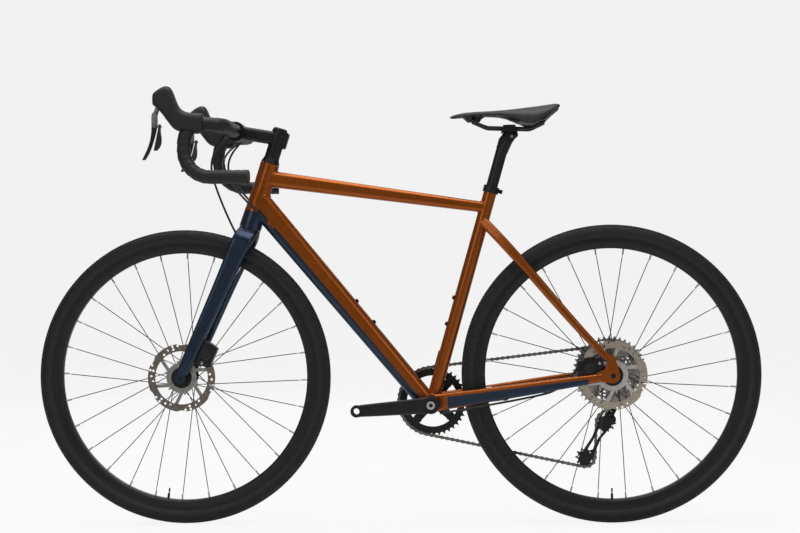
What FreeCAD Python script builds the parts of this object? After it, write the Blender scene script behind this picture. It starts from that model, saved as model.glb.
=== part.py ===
import FreeCAD, Part
import math
import os
import re
import Sketcher
from FreeCAD import Placement, Rotation, Vector

# Gravel bike. X points forward, Y to the rider's left, Z up. The origin is on the ground, midway
# between the two axles, in the middle plane. All lengths are millimetres and all angles degrees.

doc = FreeCAD.newDocument("gravel_bike")
sheet = doc.addObject("Spreadsheet::Sheet", "Sizes")
aliases = []
nodes = []

ALONG_X = Vector(1, 0, 0)
ALONG_Y = Vector(0, 1, 0)
ALONG_Z = Vector(0, 0, 1)
ORIGIN = Vector(0, 0, 0)


# Sizes and expressions

def put_sizes(rows):
    """Write named sizes into the spreadsheet, one row each."""
    for alias, number in rows:
        aliases.append(alias)
        row = len(aliases)
        sheet.set("A%d" % row, alias)
        sheet.set("B%d" % row, str(number))
        sheet.setAlias("B%d" % row, alias)


def put_table(name, columns, rows):
    """Write a table of stations; each number gets the alias name_row_column."""
    for row, numbers in rows:
        put_sizes([("%s_%s_%s" % (name, row, column), number)
                   for column, number in zip(columns.split(), numbers)])


class Reader:
    """Gives the value of a named size of the spreadsheet."""

    def __getattr__(self, alias):
        return float(sheet.get(alias))


s = Reader()


def station(name, row, columns):
    """Read one row of a table of stations from the spreadsheet."""
    return [float(sheet.get("%s_%s_%s" % (name, row, column))) for column in columns.split()]


def bound(text):
    """Put the sheet's name before every size named in an expression."""
    return re.sub(r"[a-z]\w*", lambda word: "Sizes." + word.group(0)
                  if word.group(0) in aliases else word.group(0), text)


def worth(text):
    return float(sheet.evalExpression(bound(text)))


# Sizes: building blocks.
put_sizes([
    ("corner_share", 0.98),
    ("shortest_run", 0.01),
    ("running_play", 0.06),
    ("seat_play", 0.1),
])

# Sizes: layout of the whole bike.
put_sizes([
    ("wheelbase", 1006),
    ("bead_radius", 311),
    ("tyre_height", 38),
    ("bottom_bracket_drop", 66),
    ("chainstay_length", 424),
    ("head_angle", 72),
    ("fork_rake", 44),
    ("axle_to_crown", 385),
    ("seat_angle", 73.9),
])

# Sizes: frame tubes.
put_sizes([
    ("headset_gap", 0.8),
    ("head_tube_length", 160),
    ("head_top_radius", 22.5),
    ("head_base_radius", 26),
    ("head_base_height", 14),
    ("head_taper_height", 105),
    ("head_bore_radius", 19.2),
    ("upper_bearing_radius", 20.9),
    ("upper_bearing_height", 7),
    ("lower_bearing_radius", 23.5),
    ("lower_bearing_height", 8),
    ("steerer_radius", 14.3),
    ("steerer_base_radius", 16.5),
    ("top_tube_head_height", 124),
    ("top_tube_seat_height", 477),
    ("top_tube_head_tall", 39),
    ("top_tube_head_wide", 36),
    ("top_tube_seat_tall", 25),
    ("top_tube_seat_wide", 28),
    ("down_tube_head_height", 67),
    ("down_tube_fore", 9),
    ("down_tube_head_tall", 58),
    ("down_tube_head_wide", 43),
    ("down_tube_foot_tall", 44),
    ("down_tube_foot_wide", 46),
    ("tube_corner_share", 0.36),
    ("tube_wall", 1.6),
    ("seat_tube_radius", 15.4),
    ("seat_tube_length", 526),
    ("seatpost_radius", 13.6),
    ("shell_radius", 21),
    ("shell_width", 68),
    ("shell_bore_radius", 17.4),
])
put_sizes([
    ("bottle_spacing", 64),
    ("down_boss_first", 228),
    ("seat_boss_first", 189),
    ("boss_bolt_radius", 2.5),
    ("boss_head_radius", 4.4),
    ("boss_head_height", 3.6),
    ("boss_rim_radius", 6),
    ("boss_rim_height", 1.2),
    ("boss_bolt_length", 9),
])

# Sizes: stays and dropouts.
put_sizes([
    ("rear_hub_width", 142),
    ("dropout_thickness", 8),
    ("axle_radius", 6),
    ("chainstay_corner", 6),
    ("seatstay_corner", 6.5),
    ("stay_wall", 1.5),
    ("bridge_radius", 6),
    ("bridge_back", 58),
    ("dropout_round", 3),
])
put_table("chainstay", "back rise out wide tall", [
    ("shell", (8, 2, 24, 18, 40)),
    ("tyre", (88, 14, 34, 15, 36)),
    ("middle", (215, 34, 52.5, 16, 30)),
    ("end", (392, 62, 75, 11, 19)),
])
put_table("seatstay", "back down out wide deep", [
    ("top", (0, 0, 11, 15, 23)),
    ("bend", (56, 60, 35, 15, 22)),
    ("middle", (160, 182, 53.5, 14, 19)),
    ("end", (284, 321, 75, 10, 15)),
])
put_sizes([("seatstay_seat_height", 445)])
DROPOUT = [
    ("lower_back", (-12, -12)), ("lower", (0, -17)), ("lower_fore", (18, -15)), ("stay_low", (36, -12)),
    ("stay_high", (39, 7)), ("corner", (21, 14)), ("riser", (13, 27)), ("top_fore", (13, 47)),
    ("top_back", (-3, 48)), ("back_high", (-11, 20)), ("back", (-16, 2)),
]
put_table("dropout", "x z", DROPOUT)

# Sizes: frame fittings.
put_sizes([
    ("collar_radius", 18.6),
    ("collar_height", 13),
    ("collar_lip", 2.5),
    ("collar_ear_deep", 9),
    ("collar_ear_wide", 13),
    ("collar_ear_tall", 9),
    ("collar_slit", 1.4),
    ("collar_bolt_radius", 2.6),
    ("collar_bolt_length", 19),
    ("cup_flange", 10),
    ("cup_depth", 9),
    ("spindle_radius", 12),
    ("port_share", 0.9),
    ("port_long", 30),
    ("port_tall", 11),
    ("port_thick", 2.4),
    ("port_bed", 4),
    ("port_low_share", 0.18),
    ("cover_low", 74),
    ("cover_high", 124),
    ("cover_wide", 15),
    ("cover_thick", 4),
    ("cover_turn", -52),
])

# Sizes: fork.
put_sizes([
    ("steerer_length", 241),
    ("steerer_bore_radius", 11.3),
    ("steerer_base_height", 26),
    ("steerer_cone_height", 70),
    ("crown_radius", 25.4),
    ("crown_depth", 25),
    ("blade_corner", 9),
    ("front_hub_width", 100),
    ("fork_end_thickness", 11),
    ("fork_end_radius", 13.5),
])
put_table("blade", "drop fore out wide deep", [
    ("root", (3, 0, 13, 24, 44)),
    ("shoulder", (26, 3, 33.5, 23, 49)),
    ("upper", (66, 8, 39, 20, 46)),
    ("middle", (200, 23.5, 47, 17, 36)),
    ("foot", (372, 43, 55.5, 11, 26)),
])

# Sizes: wheels.
put_sizes([
    ("rim_inner_radius", 293),
    ("rim_bed", 2.4),
    ("rim_outer_radius", 317),
    ("rim_wide", 26),
    ("rim_inside_wide", 21.6),
    ("rim_foot_wide", 13),
    ("rim_waist_wide", 20),
    ("rim_waist_radius", 297),
    ("rim_shoulder_radius", 308),
    ("rim_wall", 1.8),
    ("rim_well_radius", 307.6),
    ("rim_well_wide", 9),
    ("rim_deck", 2.2),
    ("rim_bead_wide", 13),
    ("tyre_seat_play", 0.2),
    ("tyre_edge_radius", 317.4),
    ("tyre_edge_wide", 25.4),
    ("tyre_shoulder_radius", 342.6),
    ("tyre_shoulder_wide", 29),
    ("tyre_side_radius", 16.5),
    ("tyre_crown_radius", 19.626),
    ("tyre_side", 2.2),
    ("tyre_tread", 3.6),
    ("tyre_inner_side_radius", 14.6),
    ("tyre_inner_crown_radius", 18),
    ("spoke_count", 28),
    ("spoke_radius", 1),
    ("spoke_crossing", 4),
    ("spoke_head_radius", 1.9),
    ("spoke_head_height", 1.1),
    ("spoke_hole_radius", 1.25),
    ("nipple_radius", 2),
    ("nipple_length", 13),
    ("nipple_head_radius", 2.9),
    ("nipple_head_height", 1.2),
    ("nipple_hole_radius", 2.3),
    ("spoke_lift", 1.5),
    ("flange_radius", 26),
    ("flange_thickness", 3.2),
    ("flange_root_radius", 18.5),
    ("flange_hole_circle", 22.6),
    ("barrel_radius", 13.2),
    ("barrel_taper", 11),
    ("boss_radius", 17),
    ("hub_bearing_radius", 13),
    ("hub_bearing_width", 7),
    ("hub_bore_radius", 9),
    ("hub_end_radius", 16),
    ("axle_tube_radius", 7.6),
    ("axle_cap_radius", 10.5),
    ("axle_head_radius", 8.5),
    ("axle_head_height", 5),
    ("axle_socket_radius", 3),
    ("rotor_radius", 80),
    ("rotor_thickness", 1.8),
    ("rotor_window_outer", 62.5),
    ("rotor_window_inner", 36),
    ("rotor_arms", 6),
    ("rotor_hole_radius", 2.9),
    ("rotor_notch_radius", 26),
    ("rotor_notch_centre", 102.8),
    ("lock_ring_outer", 21),
    ("lock_ring_height", 3.4),
])
put_table("rotor_window", "x z", [("a", (33.1, -14.1)), ("b", (60.6, -15.2)), ("c", (49.2, 38.5)),
                                  ("d", (33.1, 14.1))])
put_table("rotor_drill", "x z", [("a", (71.5, 4)), ("b", (66.8, 17)), ("c", (69.6, 30)),
                                 ("d", (73.9, 18.5)), ("e", (67.4, -8))])
put_table("hub_front", "boss_end boss_start left right end cap_left cap_right rotor rest",
          [("is", (38.4, 27.5, 22, -35, -42, 44, -42.4, 40, -1.9))])
put_table("hub_rear", "boss_end boss_start left right end cap_left cap_right rotor rest",
          [("is", (54.2, 42, 36, -17.5, -21.2, 60, -66.6, 55.7, 6.4))])


# Sizes: brakes.
put_sizes([
    ("caliper_wide", 25),
    ("caliper_round", 5),
    ("caliper_slot", 2.8),
    ("caliper_disc_play", 1.6),
    ("pad_long", 27),
    ("pad_tall", 18),
    ("pad_thick", 4.2),
    ("pad_play", 0.45),
    ("pad_room", 0.25),
])
put_table("caliper", "near far low high pad_along pad_up", [
    ("front", (46, 104, 13, 52, 60, 37)),
    ("rear", (16, 78, 8, 46, 46, 40)),
])

# Sizes: chain line.
put_sizes([
    ("chain_pitch", 12.7),
    ("ring_teeth", 40),
    ("ring_line", 47),
    ("cog_spacing", 3.74),
    ("largest_cog_line", 25.2),
    ("pulley_teeth", 11),
    ("guide_back", 9.5),
    ("guide_drop", 116),
    ("pulley_distance", 97),
    ("chain_links", 112),
    ("cage_first_angle", -75),
    ("cage_last_angle", -15),
    ("tooth_gap_angle", 72),
    ("tooth_seat", 4.1),
    ("tooth_tip", 2.7),
    ("tooth_tip_width", 1.5),
    ("tooth_thickness", 1.6),
])

# Sizes: chain.
put_sizes([
    ("first_pin_share", 0.5),
    ("plate_radius", 4.2),
    ("plate_waist", 2.8),
    ("plate_thickness", 0.7),
    ("inner_width", 2.18),
    ("link_play", 0.1),
    ("roller_radius", 3.8),
    ("bush_radius", 2),
    ("pin_radius", 1.8),
    ("pin_stick_out", 0.05),
    ("plate_arc_angle", 50),
])

# Sizes: cassette.
put_sizes([
    ("freehub_radius", 17),
    ("freehub_start", 21.6),
    ("freehub_end", 64.6),
    ("freehub_bore", 8.2),
    ("cog_bore_play", 0.08),
    ("cog_window_count", 5),
    ("cog_window_teeth", 28),
    ("spacer_radius", 20),
    ("spacer_play", 0.05),
    ("lock_ring_radius", 15),
])

# Sizes: cranks.
put_sizes([
    ("crank_length", 172.5),
    ("crank_rest", 4),
    ("arm_start", 46.6),
    ("arm_boss_radius", 20),
    ("arm_boss_end", 68),
    ("arm_corner", 5),
    ("pedal_boss_radius", 14),
    ("pedal_boss_inner", 63.5),
    ("pedal_boss_outer", 76.5),
    ("pedal_hole_radius", 7.14),
    ("spindle_bore_radius", 9),
    ("spindle_left_end", 66),
    ("spindle_right_end", 60),
    ("cap_radius", 8.9),
    ("cap_rim_radius", 11.5),
    ("cap_rim_height", 2),
    ("cap_depth", 10),
    ("ring_bolt_circle", 55),
    ("ring_body_thickness", 3.6),
    ("ring_body_outer", 74),
    ("ring_inner_radius", 61),
    ("ring_tab_radius", 10.5),
    ("ring_bolt_radius", 4),
    ("ring_bolt_head", 6),
    ("ring_bolt_head_height", 1.6),
    ("spider_thickness", 5.2),
    ("spider_wide", 24),
    ("spider_eye", 10),
    ("spider_arms", 4),
    ("spider_turn", 45),
])
put_table("arm", "reach out wide tall", [
    ("boss", (0, 57.5, 20, 39)),
    ("neck", (34, 62, 14.5, 36)),
    ("middle", (100, 66.5, 12.5, 32)),
    ("end", (168, 70, 12, 27)),
])

# Sizes: rear derailleur.
put_sizes([
    ("hanger_thick", 6.6),
    ("bolt_back", 8),
    ("bolt_drop", 28),
    ("bolt_radius", 4.8),
    ("knuckle_radius", 10.5),
    ("knuckle_length", 13),
    ("link_pitch", 44),
    ("link_rest_in", 11.2),
    ("link_gap", 18),
    ("link_half_wide", 3.8),
    ("link_half_thick", 4),
    ("link_eye", 5.4),
    ("link_pin", 2.5),
    ("cheek_inner", 4.4),
    ("cheek_outer", 8.2),
    ("cheek_side", 5.4),
    ("cheek_over", 5.4),
    ("cheek_root", 7),
    ("cheek_tail", 17),
    ("strut_radius", 5.4),
    ("strut_back", 13.5),
    ("slant_fore", 0.9),
    ("slant_up", 0.436),
    ("pivot_back", 12),
    ("pivot_up", 4),
    ("lower_pin_back", 7),
    ("lower_pin_up", 22),
    ("lower_pin_line", 81),
    ("cage_knuckle_radius", 12.5),
    ("cage_knuckle_start", 39.4),
    ("cage_knuckle_end", 88),
    ("cage_pin", 5),
    ("cage_half_gap", 4.2),
    ("cage_plate", 2),
    ("cage_round", 3),
    ("pulley_bolt", 3),
    ("pulley_hub", 7.5),
    ("pulley_hub_half", 3.9),
    ("pulley_window", 4),
    ("pulley_window_circle", 14),
    ("pulley_windows", 5),
    ("pulley_tip", 2.2),
    ("cover_first", 12.5),
    ("cover_last", 31),
    ("cover_half_thick", 9),
    ("cover_out", 6.4),
])
HANGER = [("a", (-13, -7)), ("b", (8, -9)), ("c", (5, -28)), ("d", (-1, -39)), ("e", (-15, -39)),
          ("f", (-20, -27))]
CAGE = [("a", (-15, -6)), ("b", (-12, -13)), ("c", (2, -16)), ("d", (40, -9)), ("e", (96, -15)),
        ("f", (112, -13)), ("g", (119, 2)), ("h", (108, 14)), ("i", (92, 13)), ("j", (48, 10)),
        ("k", (6, 15)), ("l", (-10, 11))]
WINDOW = [("a", (22, -7)), ("b", (44, -4)), ("c", (84, -6.5)), ("d", (82, 6)), ("e", (46, 5)),
          ("f", (22, 7))]
put_table("hanger", "x z", HANGER)
put_table("cage", "x z", CAGE)
put_table("cage_window", "x z", WINDOW)

# Sizes: stem and bar.
put_sizes([
    ("cover_height", 14),
    ("headset_cover_top", 17.5),
    ("spacer_height", 27),
    ("spacer_outer", 17.6),
    ("stem_clamp_height", 40),
    ("stem_clamp_radius", 18.6),
    ("stem_length", 99),
    ("stem_drop", 8),
    ("stem_wide", 33),
    ("stem_tall", 31),
    ("stem_corner", 9),
    ("barrel_wide", 46),
    ("barrel_round", 23),
    ("bar_clamp_radius", 15.9),
    ("faceplate_gap", 0.6),
    ("stem_ear_deep", 24),
    ("stem_ear_wide", 25),
    ("stem_slit", 1.6),
    ("stem_bolt", 2.5),
    ("stem_bolt_head", 4),
    ("stem_bolt_head_height", 4),
    ("pinch_back", 20.4),
    ("pinch_step", 11),
    ("pinch_length", 27),
    ("face_bolt_out", 15.5),
    ("face_bolt_up", 18.6),
    ("face_bolt_back", 9),
    ("face_bolt_fore", 11),
    ("cap_height", 5.5),
    ("cap_top_radius", 16.8),
    ("top_bolt", 3),
    ("bar_radius", 11.9),
    ("bar_thick_half", 42),
    ("bar_cone_half", 66),
    ("tape_radius", 15.6),
    ("tape_start", 74),
    ("tape_play", 0.05),
    ("plug_radius", 15.4),
    ("plug_height", 3),
    ("bar_corner_bend", 34),
    ("bar_front_bend", 44),
    ("bar_hook_bend", 64),
])
put_table("bar", "fore out up", [
    ("corner", (0, 184, 0)),
    ("front", (83, 207, 4)),
    ("hook", (84, 223, -119)),
    ("end", (-62, 238, -121)),
])

# Sizes: hoods, levers and paddles.
put_sizes([
    ("hood_line", 207),
    ("hood_corner", 13),
    ("lever_line", 207),
    ("lever_pivot_fore", 140),
    ("lever_pivot_up", 46),
    ("lever_pin", 2.5),
    ("lever_boss", 6.5),
    ("lever_boss_wide", 9),
    ("lever_slot", 10.4),
    ("lever_slot_round", 8),
    ("lever_slot_tall", 34),
    ("lever_slot_deep", 38),
    ("lever_slot_low", 32),
    ("lever_slot_back", 14),
    ("lever_corner", 3.4),
    ("lug_deep", 11),
    ("lever_pin_length", 24),
    ("paddle_thick", 4.6),
    ("paddle_pivot_up", -4),
    ("paddle_hub", 5.5),
    ("paddle_pin", 2),
    ("paddle_corner", 2),
])
put_table("hood", "fore up tall wide", [
    ("base", (42, 3, 38, 34)),
    ("grip", (78, 4, 44, 35)),
    ("rise", (99, 16, 56, 34)),
    ("horn", (112, 38, 78, 31)),
    ("nose", (134, 54.5, 55, 28)),
    ("tip", (152, 56, 28, 20)),
])
put_table("lever", "up fore wide deep", [
    ("top", (27, 149, 15, 10)),
    ("shoulder", (20, 150, 17, 12)),
    ("upper", (2, 150.5, 17, 12)),
    ("middle", (-24, 154, 14, 9)),
    ("lower", (-58, 165, 13, 8)),
    ("tip", (-78, 176, 12, 7)),
])
put_table("paddle", "up out wide fore deep", [
    ("root", (-4, 0, 9, 139, 5)),
    ("middle", (-20, -2, 11, 141, 8)),
    ("end", (-40, -5, 11, 143.5, 13)),
    ("tip", (-57, -7, 9, 151, 7)),
])

# Sizes: seatpost and saddle.
put_sizes([
    ("post_foot", 380),
    ("post_head", 642),
    ("post_wall", 2.2),
    ("head_back", 9),
    ("head_up", 650),
    ("head_radius", 12.5),
    ("head_wide", 33),
    ("rail_radius", 3.5),
    ("rail_bend", 26),
    ("clamp_deep", 38),
    ("clamp_wide", 55),
    ("clamp_low", 9),
    ("clamp_high", 7),
    ("clamp_gap", 0.6),
    ("clamp_round", 2.5),
    ("clamp_bolt", 3),
    ("clamp_bolt_head", 5),
    ("shell_thick", 3.2),
    ("shell_inset", 3),
    ("shell_play", 0.3),
    ("saddle_side_share", 0.42),
    ("saddle_foot_share", 0.93),
    ("saddle_edge_share", 0.8),
])
put_table("saddle", "x half top low", [
    ("nose", (-139, 12, 958, 950)),
    ("snout", (-156, 20, 964, 946)),
    ("neck", (-200, 23, 966.5, 945.5)),
    ("waist", (-255, 31, 968.5, 944)),
    ("flare", (-305, 52, 971.5, 942)),
    ("wing", (-350, 69, 976.5, 942.5)),
    ("rump", (-382, 66, 980.5, 950)),
    ("tail", (-393, 55, 980, 961)),
])
put_table("rail", "x out z", [
    ("front", (-186, 15, 943)),
    ("front_bend", (-222, 21.5, 927.5)),
    ("rear_bend", (-322, 21.5, 923.5)),
    ("rear", (-356, 30, 940)),
])

# Sizes: hoses and cable.
put_sizes([
    ("hose_radius", 2.5),
    ("front_hose_bend", 45),
    ("front_hose_low_bend", 60),
    ("port_hose_bend", 42),
    ("stay_hose_bend", 160),
    ("stay_hose_end_bend", 22),
    ("loop_bend", 16),
])
put_table("front_hose", "x y z", [
    ("bar", (378, 60, 913)), ("fore", (438, 62, 876)), ("low", (398, 44, 742)), ("crown", (366, 30, 676)),
])
put_table("left_line", "x y z", [
    ("bar", (374, -58, 909)), ("fore", (430, -20, 866)), ("side", (362, 42, 776)), ("port", (294, 21, 712)),
])
put_table("right_line", "x y z", [
    ("bar", (372, -66, 910)), ("fore", (424, -70, 862)), ("side", (362, -42, 776)),
    ("port", (294, -21, 712)),
])
put_table("stay_line", "x y z", [
    ("start", (-104, 40, 262)), ("under", (-330, 49, 299)), ("rise", (-392, 49, 322)),
    ("caliper", (-425, 51.4, 368)),
])
put_table("loop", "x y z", [
    ("stay", (-424, -84, 326)), ("back", (-468, -90, 318)), ("boss", (-500, -86, 321)),
])

doc.recompute()


# Building blocks

def keep(thing, label):
    """Register an object as a sub-part that is written to its own file."""
    thing.Label = label
    nodes.append(thing)
    return thing


def add(label, shape, placement=None, node=True):
    """A sub-part whose shape is worked out in code from the sheet's sizes."""
    thing = doc.addObject("Part::Feature", label)
    thing.Shape = shape
    if placement is not None:
        thing.Placement = placement
    return keep(thing, label) if node else thing


def group(label, members):
    """Several separate solids that share one node."""
    thing = doc.addObject("Part::Compound", label)
    thing.Links = members
    return keep(thing, label)


def plane_of(body, role):
    return [one for one in body.Origin.OriginFeatures if one.Role == role][0]


def outline(body, role, loops, circles=()):
    """Sketch on a base plane. A loop is a list of corners (x, y) or (x, y, radius, side): with a radius
    the edge from that corner is an arc, whose centre lies on the left (1) or the right (-1). A circle is
    (x, y, radius). Every entry but the side is an expression of sizes."""
    sketch = body.newObject("Sketcher::SketchObject", body.Name + "_sketch")
    sketch.AttachmentSupport = [(plane_of(body, role), "")]
    sketch.MapMode = "FlatFace"
    shapes, rules, bindings = [], [], []
    for loop in loops:
        first = len(shapes)
        spots = [Vector(worth(corner[0]), worth(corner[1]), 0) for corner in loop]
        ends = []
        for number, corner in enumerate(loop):
            here, there = spots[number], spots[(number + 1) % len(loop)]
            side = corner[3] if len(corner) == 4 else 0
            if side == 0:
                shapes.append(Part.LineSegment(here, there))
            else:
                radius = worth(corner[2])
                shapes.append(arc_between(here, there, radius, side))
            ends.append((2, 1) if side < 0 else (1, 2))
        for number, corner in enumerate(loop):
            edge, after = first + number, first + (number + 1) % len(loop)
            rules.append(Sketcher.Constraint("Coincident", edge, ends[number][1], after,
                                             ends[(number + 1) % len(loop)][0]))
            for kind, which, value in (("DistanceX", corner[0], spots[number].x),
                                       ("DistanceY", corner[1], spots[number].y)):
                rules.append(Sketcher.Constraint(kind, -1, 1, edge, ends[number][0], value))
                bindings.append((len(rules) - 1, which))
            if len(corner) == 4:
                rules.append(Sketcher.Constraint("Radius", edge, worth(corner[2])))
                bindings.append((len(rules) - 1, corner[2]))
    for x, y, radius in circles:
        edge = len(shapes)
        shapes.append(Part.Circle(Vector(worth(x), worth(y), 0), ALONG_Z, worth(radius)))
        for kind, which in (("DistanceX", x), ("DistanceY", y)):
            rules.append(Sketcher.Constraint(kind, -1, 1, edge, 3, worth(which)))
            bindings.append((len(rules) - 1, which))
        rules.append(Sketcher.Constraint("Radius", edge, worth(radius)))
        bindings.append((len(rules) - 1, radius))
    sketch.addGeometry(shapes, False)
    sketch.addConstraint(rules)
    for rule, text in bindings:
        sketch.setExpression("Constraints[%d]" % rule, bound(text))
    return sketch


def arc_between(here, there, radius, side):
    """The smaller arc between two points of a sketch, its centre on the left or right of the way."""
    chord = there - here
    left = Vector(-chord.y, chord.x, 0).normalize()
    rise = math.sqrt(max(radius ** 2 - (chord.Length / 2) ** 2, 0))
    centre = (here + there) * 0.5 + left * (rise * side)
    start, end = (here, there) if side > 0 else (there, here)
    begin = math.atan2(start.y - centre.y, start.x - centre.x)
    finish = math.atan2(end.y - centre.y, end.x - centre.x)
    if finish < begin:
        finish += 2 * math.pi
    return Part.ArcOfCircle(Part.Circle(centre, ALONG_Z, radius), begin, finish)


def turned(label, loops, placement=None, node=True):
    """A turned piece: the loops give (radius, length along the piece's own Y axis)."""
    body = doc.addObject("PartDesign::Body", label)
    sketch = outline(body, "XY_Plane", loops)
    spin = body.newObject("PartDesign::Revolution", label + "_turn")
    spin.Profile = sketch
    spin.ReferenceAxis = (sketch, ["V_Axis"])
    spin.Angle = 360
    if placement is not None:
        body.Placement = placement
    return keep(body, label) if node else body


def plate(label, loops, thickness, circles=(), placement=None, node=True):
    """A flat piece drawn in its own X-Z plane; it reaches from there to the side of minus Y."""
    body = doc.addObject("PartDesign::Body", label)
    sketch = outline(body, "XZ_Plane", loops, circles)
    pad = body.newObject("PartDesign::Pad", label + "_pad")
    pad.Profile = sketch
    pad.setExpression("Length", bound(thickness))
    if placement is not None:
        body.Placement = placement
    return keep(body, label) if node else body


def repeat(body, feature, count):
    """Repeat a feature of a body around its own Y axis."""
    body.Tip = feature
    doc.recompute()
    pattern = body.newObject("PartDesign::PolarPattern", feature.Name + "_pattern")
    pattern.Originals = [feature]
    pattern.Axis = ([one for one in body.Origin.OriginFeatures if one.Role == "Y_Axis"][0], [""])
    pattern.Angle = 360
    pattern.setExpression("Occurrences", bound(count))
    body.Tip = pattern
    return pattern


def pocket(body, role, loops, circles, length, reversed_way=False):
    """Cut a sketch out of a body, from a base plane to one side of it."""
    sketch = outline(body, role, loops, circles)
    cut = body.newObject("PartDesign::Pocket", sketch.Name + "_cut")
    cut.Profile = sketch
    cut.setExpression("Length", bound(length))
    cut.Reversed = reversed_way
    body.Tip = cut
    return cut


def soften(body, radius, wanted):
    """Round the edges of a body that a test picks."""
    doc.recompute()
    base = body.Tip
    names = ["Edge%d" % (number + 1) for number, edge in enumerate(base.Shape.Edges) if wanted(edge)]
    fillet = body.newObject("PartDesign::Fillet", base.Name + "_round")
    fillet.Base = (base, names)
    fillet.setExpression("Radius", bound(radius))
    body.Tip = fillet
    return fillet


def across(edge):
    """True for a straight edge that runs along the plate's thickness."""
    way = edge.tangentAt(edge.FirstParameter)
    return edge.Curve.TypeId == "Part::GeomLine" and abs(way.y) > abs(way.x) + abs(way.z)


def rounded(width, height, corner, centre, wide, tall):
    """Closed wire: a rectangle with round corners that lies along two directions."""
    a, b = width / 2, height / 2
    corner = min(corner, a * s.corner_share, b * s.corner_share)
    diagonal = corner * (1 - math.sqrt(2) / 2)

    def spot(x, y):
        return centre + wide * x + tall * y
    edges = []
    for turn_x, turn_y in ((1, 1), (-1, 1), (-1, -1), (1, -1)):
        first, last = (a, b - corner), (a - corner, b)
        if turn_x * turn_y < 0:
            first, last = last, first
        start = spot(turn_x * first[0], turn_y * first[1])
        middle = spot(turn_x * (a - diagonal), turn_y * (b - diagonal))
        end = spot(turn_x * last[0], turn_y * last[1])
        if edges:
            edges.append(Part.makeLine(edges[-1].valueAt(edges[-1].LastParameter), start))
        edges.append(Part.Arc(start, middle, end).toShape())
    edges.append(Part.makeLine(edges[-1].valueAt(edges[-1].LastParameter),
                               edges[0].valueAt(edges[0].FirstParameter)))
    return Part.Wire(edges)


def loft(wires):
    return Part.makeLoft(wires, True, False, False, 3)


def rod(start, end, radius):
    return Part.makeCylinder(radius, (end - start).Length, start, end - start)


def ring(start, end, outer, inner):
    return rod(start, end, outer).cut(rod(start, end, inner))


def path(corners, bends):
    """Straight runs through the corners, joined by tangent arcs of the given radii."""
    edges, last = [], corners[0]
    for before, here, after, radius in zip(corners, corners[1:], corners[2:], bends):
        back = (before - here).normalize()
        onward = (after - here).normalize()
        half = back.getAngle(onward) / 2
        middle = (back + onward).normalize()
        leave = here + back * (radius / math.tan(half))
        join = here + onward * (radius / math.tan(half))
        peak = here + middle * (radius / math.sin(half) - radius)
        if (leave - last).Length > s.shortest_run:
            edges.append(Part.LineSegment(last, leave).toShape())
        edges.append(Part.Arc(leave, peak, join).toShape())
        last = join
    edges.append(Part.LineSegment(last, corners[-1]).toShape())
    return Part.Wire(edges)


def swept(wire, radius):
    """A round bar along a wire."""
    first = wire.Edges[0]
    circle = Part.makeCircle(radius, first.valueAt(first.FirstParameter),
                             first.tangentAt(first.FirstParameter))
    return wire.makePipeShell([Part.Wire(circle)], True, False)


def mirrored(shape):
    return shape.mirror(ORIGIN, ALONG_Y)


def toothed(teeth, phase, seat, tip, tip_width):
    """Outline of a chain wheel, in the X-Z plane; a tooth gap lies at the phase angle."""
    pitch_radius = s.chain_pitch / 2 / math.sin(math.pi / teeth)
    edges, last = [], None
    opening = math.radians(s.tooth_gap_angle)
    first = None
    for tooth in range(int(teeth)):
        turn = phase + 2 * math.pi * tooth / teeth
        out = Vector(math.cos(turn), 0, math.sin(turn))
        side = Vector(-math.sin(turn), 0, math.cos(turn))
        centre = out * pitch_radius
        start = centre - out * (seat * math.cos(opening)) - side * (seat * math.sin(opening))
        end = centre - out * (seat * math.cos(opening)) + side * (seat * math.sin(opening))
        if last is not None:
            edges.append(Part.makeLine(last, start))
        else:
            first = start
        edges.append(Part.Arc(start, centre - out * seat, end).toShape())
        crest = turn + math.pi / teeth
        reach = pitch_radius + tip
        half = tip_width / 2 / reach
        one = Vector(math.cos(crest - half), 0, math.sin(crest - half)) * reach
        two = Vector(math.cos(crest + half), 0, math.sin(crest + half)) * reach
        edges.append(Part.makeLine(end, one))
        edges.append(Part.makeLine(one, two))
        last = two
    edges.append(Part.makeLine(last, first))
    return Part.Wire(edges)


def turn_to(way, foot):
    """Placement that lays a piece's own Y axis along a direction."""
    return Placement(foot, Rotation(ALONG_Y, way))


# Layout of the whole bike

wheel_radius = s.bead_radius + s.tyre_height
front_axle = Vector(s.wheelbase / 2, 0, wheel_radius)
rear_axle = Vector(-s.wheelbase / 2, 0, wheel_radius)
bracket = rear_axle + Vector(math.sqrt(s.chainstay_length ** 2 - s.bottom_bracket_drop ** 2), 0,
                             -s.bottom_bracket_drop)
steer_up = Vector(-math.cos(math.radians(s.head_angle)), 0, math.sin(math.radians(s.head_angle)))
steer_fore = Vector(steer_up.z, 0, -steer_up.x)
fork_drop = math.sqrt(s.axle_to_crown ** 2 - s.fork_rake ** 2)
crown = front_axle - steer_fore * s.fork_rake + steer_up * fork_drop
steer_place = Placement(crown, Rotation(steer_fore, ALONG_Y, steer_up, "ZXY"))
seat_up = Vector(-math.cos(math.radians(s.seat_angle)), 0, math.sin(math.radians(s.seat_angle)))
seat_back = Vector(-seat_up.z, 0, seat_up.x)


def on_steerer(height):
    return crown + steer_up * height


def on_seat(height):
    return bracket + seat_up * height


# Routes of the hoses and the cable

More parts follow.
